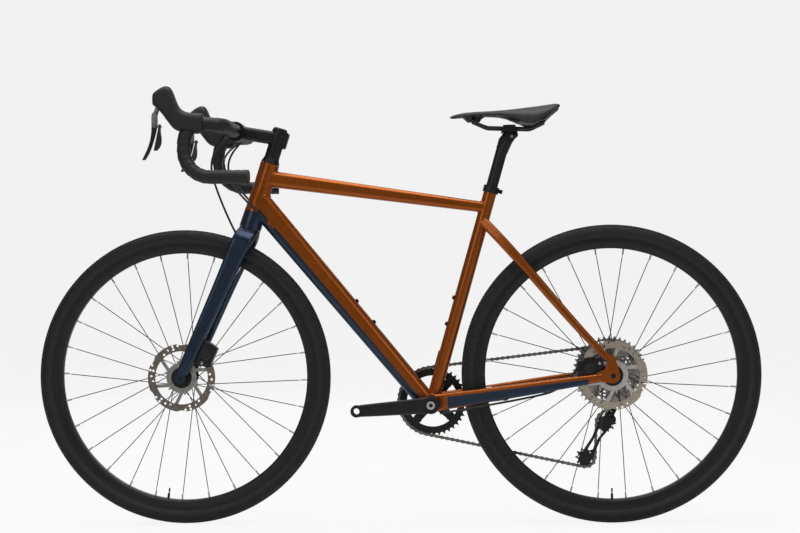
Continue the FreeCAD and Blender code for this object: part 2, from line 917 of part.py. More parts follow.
FRONT_HOSE = ("front_hose", ("bar", "fore", "low", "crown"), (s.front_hose_bend, s.front_hose_low_bend))
LEFT_LINE = ("left_line", ("bar", "fore", "side", "port"), (s.front_hose_bend, s.port_hose_bend))
RIGHT_LINE = ("right_line", ("bar", "fore", "side", "port"), (s.port_hose_bend, s.port_hose_bend))
REAR_HOSE = ("stay_line", ("start", "under", "rise", "caliper"), (s.stay_hose_bend, s.stay_hose_end_bend))
REAR_CABLE = ("loop", ("stay", "back", "boss"), (s.loop_bend,))


def line(name, rows, bends, radius):
    """A hose or cable: straight runs and tangent arcs through the rows of its table."""
    spots = [Vector(*station(name, row, "x y z")) for row in rows]
    return swept(path(spots, bends), radius)


hose_room = s.hose_radius + s.seat_play
port_rooms = [line(*LEFT_LINE, hose_room), line(*RIGHT_LINE, hose_room)]


# Frame tubes

head_foot = on_steerer(s.headset_gap)

head_tube = turned("head_tube", [[
    ("head_base_radius", "0"),
    ("head_base_radius", "head_base_height"),
    ("head_top_radius", "head_taper_height"),
    ("head_top_radius", "head_tube_length"),
    ("upper_bearing_radius", "head_tube_length"),
    ("upper_bearing_radius", "head_tube_length - upper_bearing_height"),
    ("head_bore_radius", "head_tube_length - upper_bearing_height"),
    ("head_bore_radius", "lower_bearing_height"),
    ("lower_bearing_radius", "lower_bearing_height"),
    ("lower_bearing_radius", "0"),
]], turn_to(steer_up, head_foot))

lower_bearing = turned("headset_lower_bearing", [[
    ("steerer_base_radius + running_play", "0"),
    ("lower_bearing_radius", "0"),
    ("lower_bearing_radius", "lower_bearing_height"),
    ("steerer_base_radius + running_play", "lower_bearing_height"),
]], turn_to(steer_up, head_foot), node=False)
upper_bearing = turned("headset_upper_bearing", [[
    ("steerer_radius + running_play", "head_tube_length - upper_bearing_height"),
    ("upper_bearing_radius", "head_tube_length - upper_bearing_height"),
    ("upper_bearing_radius", "head_tube_length"),
    ("steerer_radius + running_play", "head_tube_length"),
]], turn_to(steer_up, head_foot), node=False)
group("headset_bearings", [lower_bearing, upper_bearing])

bottom_bracket_shell = turned("bottom_bracket_shell", [[
    ("shell_bore_radius", "-shell_width / 2"),
    ("shell_radius", "-shell_width / 2"),
    ("shell_radius", "shell_width / 2"),
    ("shell_bore_radius", "shell_width / 2"),
]], Placement(bracket, Rotation()))

# Solid outlines of the round tubes; the others are mitred with them.
head_solid = rod(head_foot, on_steerer(s.headset_gap + s.head_base_height), s.head_base_radius)
head_solid = head_solid.fuse(Part.makeCone(
    s.head_base_radius, s.head_top_radius, s.head_taper_height - s.head_base_height,
    on_steerer(s.headset_gap + s.head_base_height), steer_up))
head_solid = head_solid.fuse(rod(on_steerer(s.headset_gap + s.head_taper_height),
                                 on_steerer(s.headset_gap + s.head_tube_length), s.head_top_radius))
shell_side = ALONG_Y * (s.shell_width / 2)
shell_solid = rod(bracket - shell_side, bracket + shell_side, s.shell_radius)
seat_solid = rod(bracket, on_seat(s.seat_tube_length), s.seat_tube_radius).cut(shell_solid)


def tube(start, end, start_tall, start_wide, end_tall, end_wide, thinner):
    """A tube with rounded rectangular ends; thinner is taken off all round for its inside."""
    way = (end - start).normalize()
    tall = Vector(-way.z, 0, way.x)
    wires = []
    for spot, high, wide in ((start, start_tall, start_wide), (end, end_tall, end_wide)):
        corner = s.tube_corner_share * min(high, wide) - thinner
        wires.append(rounded(wide - 2 * thinner, high - 2 * thinner, corner, spot, ALONG_Y, tall))
    return loft(wires)


def down_tube_solid(thinner):
    return tube(bracket + ALONG_X * s.down_tube_fore, on_steerer(s.headset_gap + s.down_tube_head_height),
                s.down_tube_foot_tall, s.down_tube_foot_wide, s.down_tube_head_tall,
                s.down_tube_head_wide, thinner)


def top_tube_solid(thinner):
    return tube(on_seat(s.top_tube_seat_height), on_steerer(s.headset_gap + s.top_tube_head_height),
                s.top_tube_seat_tall, s.top_tube_seat_wide, s.top_tube_head_tall,
                s.top_tube_head_wide, thinner)


def biggest(shape):
    """The largest solid of a shape; small scraps behind a mitre are dropped."""
    return max(shape.Solids, key=lambda one: one.Volume)


down_solid = biggest(down_tube_solid(0).cut(head_solid).cut(shell_solid).cut(seat_solid))
top_solid = biggest(top_tube_solid(0).cut(head_solid).cut(seat_solid).cut(down_solid))
seat_bore = rod(bracket, on_seat(s.seat_tube_length), s.seatpost_radius + s.running_play)

# Two bottle bosses on the down tube and two on the seat tube; each takes a bolt.
down_foot = bracket + ALONG_X * s.down_tube_fore
down_way = (on_steerer(s.headset_gap + s.down_tube_head_height) - down_foot)
down_length = down_way.Length
down_way.normalize()
taper = math.atan((s.down_tube_head_tall - s.down_tube_foot_tall) / 2 / down_length)
boss_up = Vector(-down_way.z, 0, down_way.x) * math.cos(taper) - down_way * math.sin(taper)


def down_top(distance):
    """A point on the upper face of the down tube."""
    half = (s.down_tube_foot_tall + (s.down_tube_head_tall - s.down_tube_foot_tall)
            * distance / down_length) / 2
    return down_foot + down_way * distance + Vector(-down_way.z, 0, down_way.x) * half


bosses = []
for step in (0, s.bottle_spacing):
    bosses.append((down_top(s.down_boss_first + step), boss_up))
    bosses.append((on_seat(s.seat_boss_first + step) - seat_back * s.seat_tube_radius, seat_back * -1))
boss_holes = [rod(spot - way * s.boss_bolt_length, spot + way * s.boss_head_height,
                  s.boss_bolt_radius + s.running_play) for spot, way in bosses]
seat_tube = add("seat_tube", biggest(seat_solid.cut(seat_bore).cut(boss_holes)))
down_shell = down_solid.cut(down_tube_solid(s.tube_wall))
down_tube = add("down_tube", biggest(down_shell.cut(boss_holes + port_rooms)))
top_tube = add("top_tube", biggest(top_solid.cut(top_tube_solid(s.tube_wall))))

boss_bolts = []
for spot, way in bosses:
    head_spot = spot + way * s.boss_rim_height
    bolt = rod(spot - way * s.boss_bolt_length, head_spot, s.boss_bolt_radius)
    bolt = bolt.fuse([rod(spot, head_spot, s.boss_rim_radius),
                      rod(head_spot, head_spot + way * s.boss_head_height, s.boss_head_radius)])
    socket = rod(head_spot + way * (s.boss_head_height / 2), head_spot + way * s.boss_head_height,
                 s.boss_bolt_radius)
    bolt = bolt.cut(socket).cut(seat_solid.cut(boss_holes))
    boss_bolts.append(biggest(bolt))
add("bottle_bolts", Part.makeCompound(boss_bolts))


# Stays and dropouts


dropout_corners = [("dropout_%s_x" % name, "dropout_%s_z" % name) for name, _ in DROPOUT]


def dropout(label, outer):
    piece = plate(label, [dropout_corners], "dropout_thickness",
                  [("0", "0", "axle_radius + seat_play / 2")],
                  Placement(rear_axle + ALONG_Y * outer, Rotation()), node=False)
    soften(piece, "dropout_round", across)
    return piece


dropout_outer = s.rear_hub_width / 2 + s.dropout_thickness
left_dropout = dropout("dropout_left", dropout_outer)
right_dropout = dropout("dropout_right", -s.rear_hub_width / 2)
doc.recompute()


def chainstay(thinner):
    wires = []
    for row in ("shell", "tyre", "middle", "end"):
        back, rise, out, wide, tall = station("chainstay", row, "back rise out wide tall")
        centre = bracket + Vector(-back, out, rise)
        wires.append(rounded(wide - 2 * thinner, tall - 2 * thinner, s.chainstay_corner - thinner,
                             centre, ALONG_Y, ALONG_Z))
    return loft(wires)


def seatstay(thinner):
    wires = []
    top = on_seat(s.seatstay_seat_height)
    way = Vector(-s.seatstay_end_back, 0, -s.seatstay_end_down).normalize()
    deep_way = Vector(-way.z, 0, way.x)
    for row in ("top", "bend", "middle", "end"):
        back, down, out, wide, deep = station("seatstay", row, "back down out wide deep")
        centre = top + Vector(-back, out, -down)
        wires.append(rounded(wide - 2 * thinner, deep - 2 * thinner, s.seatstay_corner - thinner,
                             centre, ALONG_Y, deep_way))
    return loft(wires)


left_drop_solid = left_dropout.Shape
cup_room = rod(bracket - ALONG_Y * s.shell_width, bracket + ALONG_Y * s.shell_width, s.shell_radius)
left_chainstay = chainstay(0).cut(cup_room).cut(seat_solid).cut(down_solid).cut(left_drop_solid)
left_chainstay = biggest(biggest(left_chainstay).cut(chainstay(s.stay_wall)))
left_seatstay = seatstay(0).cut(seat_solid).cut(top_solid).cut(left_drop_solid)
left_seatstay = biggest(biggest(left_seatstay).cut(seatstay(s.stay_wall)))
middle_plane = Part.makeBox(s.wheelbase, s.wheelbase, s.wheelbase,
                            Vector(-s.wheelbase, -s.wheelbase, 0))
left_seatstay = biggest(left_seatstay.cut(middle_plane))
left_chainstay = biggest(left_chainstay.cut(middle_plane))
bridge_spot = on_seat(s.seatstay_seat_height) + Vector(
    -s.bridge_back, 0, -s.bridge_back * s.seatstay_bend_down / s.seatstay_bend_back)
bridge = rod(bridge_spot - ALONG_Y * s.seatstay_bend_out, bridge_spot + ALONG_Y * s.seatstay_bend_out,
             s.bridge_radius).cut(seatstay(0)).cut(mirrored(seatstay(0)))
right_chainstay = mirrored(left_chainstay)
add("chainstays", Part.makeCompound([left_chainstay, right_chainstay]))
add("seatstays", Part.makeCompound([left_seatstay, mirrored(left_seatstay), biggest(bridge)]))


# Frame fittings


def seat_clamp():
    low = on_seat(s.seat_tube_length - s.collar_height)
    edge = on_seat(s.seat_tube_length)
    high = on_seat(s.seat_tube_length + s.collar_lip)
    band = rod(low, high, s.collar_radius)
    reach = s.collar_radius + s.collar_ear_deep
    ear = Part.makeBox(reach, s.collar_ear_wide, s.collar_ear_tall,
                       Vector(0, -s.collar_ear_wide / 2, -s.collar_ear_tall))
    frame = Placement(edge, Rotation(seat_back, ALONG_Y, seat_up, "ZXY"))
    ear.Placement = frame
    slit = Part.makeBox(reach, s.collar_slit, s.collar_height * 2,
                        Vector(0, -s.collar_slit / 2, -s.collar_height))
    slit.Placement = frame
    bolt_spot = edge + seat_back * (s.collar_radius + s.collar_ear_deep / 2)
    bolt_spot = bolt_spot - seat_up * (s.collar_ear_tall / 2)
    side = ALONG_Y * (s.collar_bolt_length / 2)
    hole = rod(bolt_spot - side, bolt_spot + side, s.collar_bolt_radius + s.running_play)
    band = band.fuse(ear)
    band = band.cut([rod(low, edge, s.seat_tube_radius + s.running_play),
                     rod(low, high, s.seatpost_radius + s.running_play), slit, hole])
    bolt = rod(bolt_spot - side, bolt_spot + side, s.collar_bolt_radius)
    return Part.makeCompound([biggest(band), bolt])


add("seat_clamp", seat_clamp())

cups = []
for name, way in (("left", 1), ("right", -1)):
    cups.append(turned("bottom_bracket_cup_" + name, [[
        ("spindle_radius + running_play", "shell_width / 2 - cup_depth"),
        ("shell_bore_radius", "shell_width / 2 - cup_depth"),
        ("shell_bore_radius", "shell_width / 2"),
        ("shell_radius", "shell_width / 2"),
        ("shell_radius", "shell_width / 2 + cup_flange"),
        ("spindle_radius + running_play", "shell_width / 2 + cup_flange"),
    ]], turn_to(ALONG_Y * way, bracket), node=False))
group("bottom_bracket_cups", cups)

port_spot = down_foot + down_way * (down_length * s.port_share) - Vector(-down_way.z, 0, down_way.x) * (
    s.down_tube_head_tall * s.port_low_share)
port_side = (s.down_tube_head_wide + (s.down_tube_foot_wide - s.down_tube_head_wide)
             * (1 - s.port_share)) / 2


def port():
    """A raised rim round the hole where a line goes into the down tube."""
    tall = Vector(-down_way.z, 0, down_way.x)
    base = port_spot + ALONG_Y * (port_side - s.port_bed)
    top = port_spot + ALONG_Y * (port_side + s.port_thick)
    block = loft([rounded(s.port_long, s.port_tall, s.port_tall, base, down_way, tall),
                  rounded(s.port_long - s.port_thick * 2, s.port_tall - s.port_thick, s.port_tall, top,
                          down_way, tall)])
    return biggest(block.cut(down_solid).cut(port_rooms))




def tube_cover():
    """Blanking plate on the right-hand front of the seat tube."""
    side = Rotation(seat_up, s.cover_turn)
    out = side.multVec(seat_back * -1)
    along = seat_up.cross(out)
    centre = on_seat((s.cover_low + s.cover_high) / 2)
    near = centre
    far = centre + out * (s.seat_tube_radius + s.cover_thick)
    tall = s.cover_high - s.cover_low
    block = loft([rounded(s.cover_wide, tall, s.cover_thick, near, along, seat_up),
                  rounded(s.cover_wide, tall, s.cover_thick, far, along, seat_up)])
    return biggest(block.cut(seat_solid))


add("frame_covers", Part.makeCompound([port(), mirrored(port()), tube_cover()]))


# Fork


def fork_shape():
    """Fork in its own frame: X ahead of the steerer, Z up it, the origin at the crown seat."""
    wires = []
    for row in ("root", "shoulder", "upper", "middle", "foot"):
        drop, fore, out, wide, deep = station("blade", row, "drop fore out wide deep")
        wires.append(rounded(wide, deep, s.blade_corner, Vector(fore, out, -drop), ALONG_Y, ALONG_X))
    blade = loft(wires)
    end = Vector(s.fork_rake, s.front_hub_width / 2, -fork_drop)
    boss = rod(end, end + ALONG_Y * s.fork_end_thickness, s.fork_end_radius)
    hole = rod(end - ALONG_Y * (s.front_hub_width * 2), end + ALONG_Y * s.front_hub_width,
               s.axle_radius + s.seat_play / 2)
    side = blade.fuse(boss)
    base = rod(ORIGIN - ALONG_Z * s.crown_depth, ORIGIN, s.crown_radius)
    base_top = s.steerer_base_height
    steerer = rod(ORIGIN, ALONG_Z * base_top, s.steerer_base_radius)
    cone = Part.makeCone(s.steerer_base_radius, s.steerer_radius, s.steerer_cone_height,
                         ALONG_Z * base_top)
    upper = rod(ALONG_Z * (base_top + s.steerer_cone_height), ALONG_Z * s.steerer_length, s.steerer_radius)
    whole = base.fuse([side, mirrored(side), steerer, cone, upper])
    bore = rod(ORIGIN - ALONG_Z * s.crown_depth, ALONG_Z * s.steerer_length, s.steerer_bore_radius)
    return biggest(whole.cut([bore, hole]))


fork_room = line(*FRONT_HOSE, hose_room)
fork_room.Placement = steer_place.inverse()
fork = add("fork", biggest(fork_shape().cut(fork_room)), steer_place)
fork_solid = fork.Shape


# Wheels


def rim(label, spot, rest):
    half = "rim_inside_wide / 2"
    body = turned(label, [[
        ("rim_inner_radius", "-rim_foot_wide / 2"),
        ("rim_waist_radius", "-rim_waist_wide / 2"),
        ("rim_shoulder_radius", "-rim_wide / 2"),
        ("rim_outer_radius", "-rim_wide / 2"),
        ("rim_outer_radius", "-" + half),
        ("bead_radius", "-" + half),
        ("bead_radius", "-rim_bead_wide / 2"),
        ("rim_well_radius", "-rim_well_wide / 2"),
        ("rim_well_radius", "rim_well_wide / 2"),
        ("bead_radius", "rim_bead_wide / 2"),
        ("bead_radius", half),
        ("rim_outer_radius", half),
        ("rim_outer_radius", "rim_wide / 2"),
        ("rim_shoulder_radius", "rim_wide / 2"),
        ("rim_waist_radius", "rim_waist_wide / 2"),
        ("rim_inner_radius", "rim_foot_wide / 2"),
    ], [
        ("rim_inner_radius + rim_bed", "-rim_foot_wide / 2 + rim_wall / 2"),
        ("rim_waist_radius + rim_wall / 2", "-rim_waist_wide / 2 + rim_wall"),
        ("rim_well_radius - rim_deck", "-rim_wide / 2 + rim_wall"),
        ("rim_well_radius - rim_deck", "rim_wide / 2 - rim_wall"),
        ("rim_waist_radius + rim_wall / 2", "rim_waist_wide / 2 - rim_wall"),
        ("rim_inner_radius + rim_bed", "rim_foot_wide / 2 - rim_wall / 2"),
    ]], Placement(spot, Rotation(ALONG_Y, rest)))
    doc.recompute()
    hole = pocket(body, "YZ_Plane", [], [("0", "0", "nipple_hole_radius")],
                  "rim_inner_radius + rim_bed + rim_wall", True)
    repeat(body, hole, "spoke_count")
    return body


def tyre(label, spot):
    edge = "tyre_edge_wide / 2"
    bead = "rim_inside_wide / 2 - tyre_seat_play"
    shoulder = "tyre_shoulder_wide / 2"
    return turned(label, [[
        ("bead_radius + tyre_seat_play", "-(%s)" % bead),
        ("tyre_edge_radius", "-(%s)" % bead),
        ("tyre_edge_radius", "-" + edge, "tyre_side_radius", 1),
        ("tyre_shoulder_radius", "-" + shoulder, "tyre_crown_radius", 1),
        ("tyre_shoulder_radius", shoulder, "tyre_side_radius", 1),
        ("tyre_edge_radius", edge),
        ("tyre_edge_radius", bead),
        ("bead_radius + tyre_seat_play", bead),
        ("bead_radius + tyre_seat_play", "%s - tyre_side" % bead),
        ("tyre_edge_radius", "%s - tyre_side" % edge, "tyre_inner_side_radius", -1),
        ("tyre_shoulder_radius - tyre_tread / 2", "%s - tyre_side" % shoulder,
         "tyre_inner_crown_radius", -1),
        ("tyre_shoulder_radius - tyre_tread / 2", "-%s + tyre_side" % shoulder,
         "tyre_inner_side_radius", -1),
        ("tyre_edge_radius", "-%s + tyre_side" % edge),
        ("bead_radius + tyre_seat_play", "-(%s) + tyre_side" % bead),
    ]], Placement(spot, Rotation()))


def hub(label, name, spot, rest):
    """Turned hub shell with drilled flanges, and its two bearings."""
    end = name + "_is_"
    left, right, half = end + "left", end + "right", "flange_thickness / 2"
    shell = turned(label + "_shell", [[
        ("hub_bearing_radius", end + "boss_end"),
        ("boss_radius", end + "boss_end"),
        ("boss_radius", end + "boss_start"),
        ("flange_root_radius", "%s + %s" % (left, half)),
        ("flange_radius", "%s + %s" % (left, half)),
        ("flange_radius", "%s - %s" % (left, half)),
        ("flange_root_radius", "%s - %s" % (left, half)),
        ("barrel_radius", "%s - barrel_taper" % left),
        ("barrel_radius", "%s + barrel_taper" % right),
        ("flange_root_radius", "%s + %s" % (right, half)),
        ("flange_radius", "%s + %s" % (right, half)),
        ("flange_radius", "%s - %s" % (right, half)),
        ("flange_root_radius", "%s - %s" % (right, half)),
        ("hub_end_radius", end + "end"),
        ("hub_bearing_radius", end + "end"),
        ("hub_bearing_radius", end + "end + hub_bearing_width"),
        ("hub_bore_radius", end + "end + hub_bearing_width"),
        ("hub_bore_radius", end + "boss_end - hub_bearing_width"),
        ("hub_bearing_radius", end + "boss_end - hub_bearing_width"),
    ]], Placement(spot, Rotation(ALONG_Y, rest)), node=False)
    holes = []
    for hole in range(int(s.spoke_count)):
        flange = worth(left if hole % 2 == 0 else right)
        centre = around(s.flange_hole_circle, 360 * hole / s.spoke_count) + ALONG_Y * flange
        side = ALONG_Y * s.flange_thickness
        holes.append(rod(centre - side, centre + side, s.spoke_hole_radius))
    drill = add(label + "_drillings", Part.makeCompound(holes), shell.Placement, node=False)
    drilled = doc.addObject("Part::Cut", label + "_drilled_shell")
    drilled.Base = shell
    drilled.Tool = drill
    bearings = []
    for side, low in (("left", end + "boss_end - hub_bearing_width"), ("right", end + "end")):
        bearings.append(turned("%s_bearing_%s" % (label, side), [[
            ("axle_tube_radius + running_play", low),
            ("hub_bearing_radius", low),
            ("hub_bearing_radius", "%s + hub_bearing_width" % low),
            ("axle_tube_radius + running_play", "%s + hub_bearing_width" % low),
        ]], Placement(spot, Rotation()), node=False))
    return group(label, [drilled] + bearings)


def spokes(label, name, spot, rest):
    """Laced spokes, each with its elbow, head and nipple; four kinds are turned round the hub."""
    step = 360 / s.spoke_count
    pieces = []
    for kind in range(4):
        side = 1 if kind % 2 == 0 else -1
        leading = 1 if kind < 2 else -1
        flange = float(sheet.get(name + "_is_" + ("left" if side > 0 else "right")))
        rim_turn = step * kind
        hub_turn = rim_turn - leading * s.spoke_crossing * step
        lay = s.flange_thickness / 2 + s.spoke_radius + s.seat_play
        if leading > 0:
            lay += s.spoke_lift
        start = around(s.flange_hole_circle, hub_turn) + ALONG_Y * (flange + leading * side * lay)
        over = around(s.flange_hole_circle, hub_turn) + ALONG_Y * (
            flange - leading * side * (s.flange_thickness / 2 + s.spoke_head_height + s.seat_play))
        deck = around(s.rim_inner_radius + s.rim_bed + s.seat_play, rim_turn)
        way = (deck - start).normalize()
        radial = around(s.nipple_length, rim_turn)
        foot = around(s.rim_inner_radius - s.nipple_length, rim_turn)
        elbow_end = over - ALONG_Y * ((over - start).y / abs((over - start).y)) * s.spoke_head_height
        piece = rod(start, foot + radial * s.corner_share, s.spoke_radius)
        piece = piece.fuse([
            rod(start, over, s.spoke_radius),
            Part.makeSphere(s.spoke_radius, start),
            rod(elbow_end, over, s.spoke_head_radius),
            rod(foot, deck, s.nipple_radius),
            rod(deck, deck + radial * (s.nipple_head_height / s.nipple_length), s.nipple_head_radius),
        ])
        for copy in range(int(s.spoke_count / 4)):
            twin = piece.copy()
            twin.rotate(ORIGIN, ALONG_Y, -360 * copy * 4 / s.spoke_count)
            pieces.append(twin)
    return add(label, Part.makeCompound(pieces), Placement(spot, Rotation(ALONG_Y, rest)))


def around(radius, turn):
    return Vector(radius * math.cos(math.radians(turn)), 0, radius * math.sin(math.radians(turn)))


def rotor(label, name, spot):
    """Brake disc with windows, drillings and a scalloped edge, its carrier and its lock ring."""
    height = float(sheet.get(name + "_is_rotor"))
    disc = plate(label + "_disc", [], "rotor_thickness",
                 [("0", "0", "rotor_radius"), ("0", "0", "boss_radius + seat_play")],
                 Placement(spot + ALONG_Y * (height + s.rotor_thickness / 2), Rotation()), node=False)
    doc.recompute()
    window = [("rotor_window_a_x", "rotor_window_a_z"),
              ("rotor_window_b_x", "rotor_window_b_z", "rotor_window_outer", 1),
              ("rotor_window_c_x", "rotor_window_c_z"),
              ("rotor_window_d_x", "rotor_window_d_z", "rotor_window_inner", -1)]
    drills = [("rotor_drill_%s_x" % one, "rotor_drill_%s_z" % one, "rotor_hole_radius") for one in "abcde"]
    drills.append(("rotor_notch_centre * cos(30 deg)", "rotor_notch_centre * sin(30 deg)",
                   "rotor_notch_radius"))
    cut = pocket(disc, "XZ_Plane", [window], drills, "rotor_thickness", False)
    cut.Midplane = True
    cut.setExpression("Length", bound("rotor_thickness * 3"))
    repeat(disc, cut, "rotor_arms")
    lock = turned(label + "_lock_ring", [[
        ("hub_bearing_radius", "rotor_thickness / 2 + running_play"),
        ("lock_ring_outer", "rotor_thickness / 2 + running_play"),
        ("lock_ring_outer", "rotor_thickness / 2 + running_play + lock_ring_height"),
        ("hub_bearing_radius", "rotor_thickness / 2 + running_play + lock_ring_height"),
    ]], Placement(spot + ALONG_Y * height, Rotation()), node=False)
    return group(label, [disc, lock])


def axle(label, name, spot, width, thickness):
    """The hub's fixed tube with its end caps, and the through axle inside it."""
    end = name + "_is_"
    half = width + " / 2"
    tube_piece = turned(label + "_tube", [[
        ("axle_radius + seat_play / 2", "-" + half),
        ("axle_cap_radius", "-" + half),
        ("axle_cap_radius", end + "cap_right"),
        ("axle_tube_radius", end + "cap_right"),
        ("axle_tube_radius", end + "cap_left"),
        ("axle_cap_radius", end + "cap_left"),
        ("axle_cap_radius", half),
        ("axle_radius + seat_play / 2", half),
    ]], Placement(spot, Rotation()), node=False)
    bolt = turned(label + "_bolt", [[
        ("0", "%s + %s" % (half, thickness)),
        ("axle_radius", "%s + %s" % (half, thickness)),
        ("axle_radius", "-%s - %s - seat_play" % (half, thickness)),
        ("axle_head_radius", "-%s - %s - seat_play" % (half, thickness)),
        ("axle_head_radius", "-%s - %s - axle_head_height" % (half, thickness)),
        ("axle_socket_radius", "-%s - %s - axle_head_height" % (half, thickness)),
        ("axle_socket_radius", "-%s" % half),
        ("0", "-%s" % half),
    ]], Placement(spot, Rotation()), node=False)
    return group(label, [tube_piece, bolt])


for wheel, name, spot, width, thickness in (
        ("front", "hub_front", front_axle, "front_hub_width", "fork_end_thickness"),
        ("rear", "hub_rear", rear_axle, "rear_hub_width", "dropout_thickness")):
    rest = float(sheet.get(name + "_is_rest"))
    rim(wheel + "_rim", spot, rest)
    tyre(wheel + "_tyre", spot)
    hub(wheel + "_hub", name, spot, rest)
    spokes(wheel + "_spokes", name, spot, rest)
    rotor(wheel + "_rotor", name, spot)
    axle(wheel + "_axle", name, spot, width, thickness)
doc.recompute()


# Brakes


def caliper(label, row, axle_spot, rotor_y, along, up, neighbours):
    """A caliper on its mount with its two pads; along and up are directions from the wheel's axle."""
    near, far, low, high, pad_along, pad_up = station("caliper", row, "near far low high pad_along pad_up")
    middle = axle_spot + ALONG_Y * rotor_y
    wires = []
    for height, trim in ((low, 0), ((low + high) / 2, 0), (high, s.caliper_round)):
        centre = middle + along * ((near + far) / 2) + up * height
        wires.append(rounded(far - near - 2 * trim, s.caliper_wide - trim, s.caliper_round, centre,
                             along, ALONG_Y))
    body = loft(wires)
    slot = ALONG_Y * (s.caliper_slot / 2)
    body = body.cut(rod(middle - slot, middle + slot, s.rotor_radius + s.caliper_disc_play))
    side = ALONG_Y * s.caliper_wide
    body = body.cut(rod(middle - side, middle + side, s.lock_ring_outer + s.caliper_disc_play))
    spot = middle + along * pad_along + up * pad_up
    frame = Placement(spot, Rotation(along, ALONG_Y, up, "ZXY"))
    inner = s.rotor_thickness / 2 + s.pad_play
    pieces = []
    for way in (1, -1):
        pad = Part.makeBox(s.pad_long, s.pad_thick, s.pad_tall,
                           Vector(-s.pad_long / 2, inner if way > 0 else -inner - s.pad_thick,
                                  -s.pad_tall / 2))
        room = Part.makeBox(s.pad_long + 2 * s.pad_room, s.pad_thick + inner + s.pad_room,
                            s.pad_tall + 2 * s.pad_room,
                            Vector(-s.pad_long / 2 - s.pad_room,
                                   0 if way > 0 else -inner - s.pad_thick - s.pad_room,
                                   -s.pad_tall / 2 - s.pad_room))
        pad.Placement = frame
        room.Placement = frame
        body = body.cut(room)
        pieces.append(pad)
    for neighbour in neighbours:
        body = body.cut(neighbour)
    return add(label, Part.makeCompound([biggest(body)] + pieces))


blade_up = (crown - front_axle).normalize()
blade_back = Vector(-blade_up.z, 0, blade_up.x)
caliper("front_caliper", "front", front_axle, s.hub_front_is_rotor, blade_up, blade_back, [fork_solid])
stay_fore = (bracket - rear_axle).normalize()
stay_up = Vector(-stay_fore.z, 0, stay_fore.x)
rear_caliper = caliper("rear_caliper", "rear", rear_axle, s.hub_rear_is_rotor, stay_fore, stay_up,
                       [left_drop_solid, chainstay(0), seatstay(0)])


# Chain line

cog_teeth = (42, 37, 32, 28, 24, 21, 19, 17, 15, 13, 11)
chain_cog = 2
cog_line = -s.largest_cog_line - chain_cog * s.cog_spacing
guide = rear_axle + Vector(s.guide_back, cog_line, -s.guide_drop)


def pitch_radius(teeth):
    return s.chain_pitch / 2 / math.sin(math.pi / teeth)


def wheels_of_chain(cage_angle):
    """Centre, teeth, running sense and line of the four wheels that the chain runs over."""
    turn = math.radians(cage_angle)
    tension = guide + Vector(math.cos(turn), 0, math.sin(turn)) * s.pulley_distance
    return [(bracket, s.ring_teeth, 1, -s.ring_line), (rear_axle, cog_teeth[chain_cog], 1, cog_line),
            (guide, s.pulley_teeth, -1, cog_line), (tension, s.pulley_teeth, 1, cog_line)]


def chain_course(cage_angle):
    """Pieces of the chain's course: straight runs, and arcs whose length counts whole pitches."""
    wheels = wheels_of_chain(cage_angle)
    runs = []
    for number, (centre, teeth, sense, line) in enumerate(wheels):
        other, other_teeth, other_sense, other_line = wheels[(number + 1) % 4]
        gap = Vector(other.x - centre.x, 0, other.z - centre.z)
        offset = sense * pitch_radius(teeth) - other_sense * pitch_radius(other_teeth)
        heading = math.atan2(gap.z, gap.x) + math.asin(offset / gap.Length)
        normal = Vector(math.sin(heading), 0, -math.cos(heading))
        start = Vector(centre.x, line, centre.z) + normal * (sense * pitch_radius(teeth))
        end = Vector(other.x, other_line, other.z) + normal * (other_sense * pitch_radius(other_teeth))
        runs.append((start, end, heading))
    course = []
    for number, (centre, teeth, sense, line) in enumerate(wheels):
        arrive = runs[number - 1][2]
        leave = runs[number][2]
        swing = ((leave - arrive) * sense) % (2 * math.pi)
        first = math.atan2(-math.cos(arrive) * sense, math.sin(arrive) * sense)
        pitches = swing * teeth / (2 * math.pi)
        course.append(("arc", pitches * s.chain_pitch, (centre, teeth, sense, line, first)))
        start, end, _ = runs[number]
        flat = math.hypot(end.x - start.x, end.z - start.z)
        course.append(("run", flat, (start, end)))
    return course


def course_length(cage_angle):
    return sum(piece[1] for piece in chain_course(cage_angle))


def closing_angle():
    """The cage angle at which the chain closes on a whole number of links."""
    wanted = s.chain_links * s.chain_pitch
    low, high = s.cage_first_angle, s.cage_last_angle
    for _ in range(60):
        middle = (low + high) / 2
        if (course_length(middle) > wanted) == (course_length(high) > course_length(low)):
            high = middle
        else:
            low = middle
    return (low + high) / 2


cage_angle = closing_angle()
course = chain_course(cage_angle)
chain_wheels = wheels_of_chain(cage_angle)
tension = chain_wheels[3][0]


def on_course(distance):
    """A point of the chain's course; on a run the chain drifts smoothly to the next wheel's line."""
    distance %= sum(piece[1] for piece in course)
    for kind, length, data in course:
        if distance <= length:
            break
        distance -= length
    if kind == "run":
        share = distance / length
        start, end = data
        ease = share * share * (3 - 2 * share)
        return Vector(start.x + (end.x - start.x) * share, start.y + (end.y - start.y) * ease,
                      start.z + (end.z - start.z) * share)
    centre, teeth, sense, line, first = data
    turn = first + sense * distance / s.chain_pitch * 2 * math.pi / teeth
    reach = pitch_radius(teeth)
    return Vector(centre.x + reach * math.cos(turn), line, centre.z + reach * math.sin(turn))


def gap_phase(number):
    """Angle of a chain pin that lies on one of the four wheels, so that a tooth gap meets it."""
    before = sum(piece[1] for piece in course[:2 * number])
    pins = math.ceil(before / s.chain_pitch + s.first_pin_share)
    spot = on_course(pins * s.chain_pitch)
    centre = chain_wheels[number][0]
    return math.atan2(spot.z - centre.z, spot.x - centre.x)


# Chain


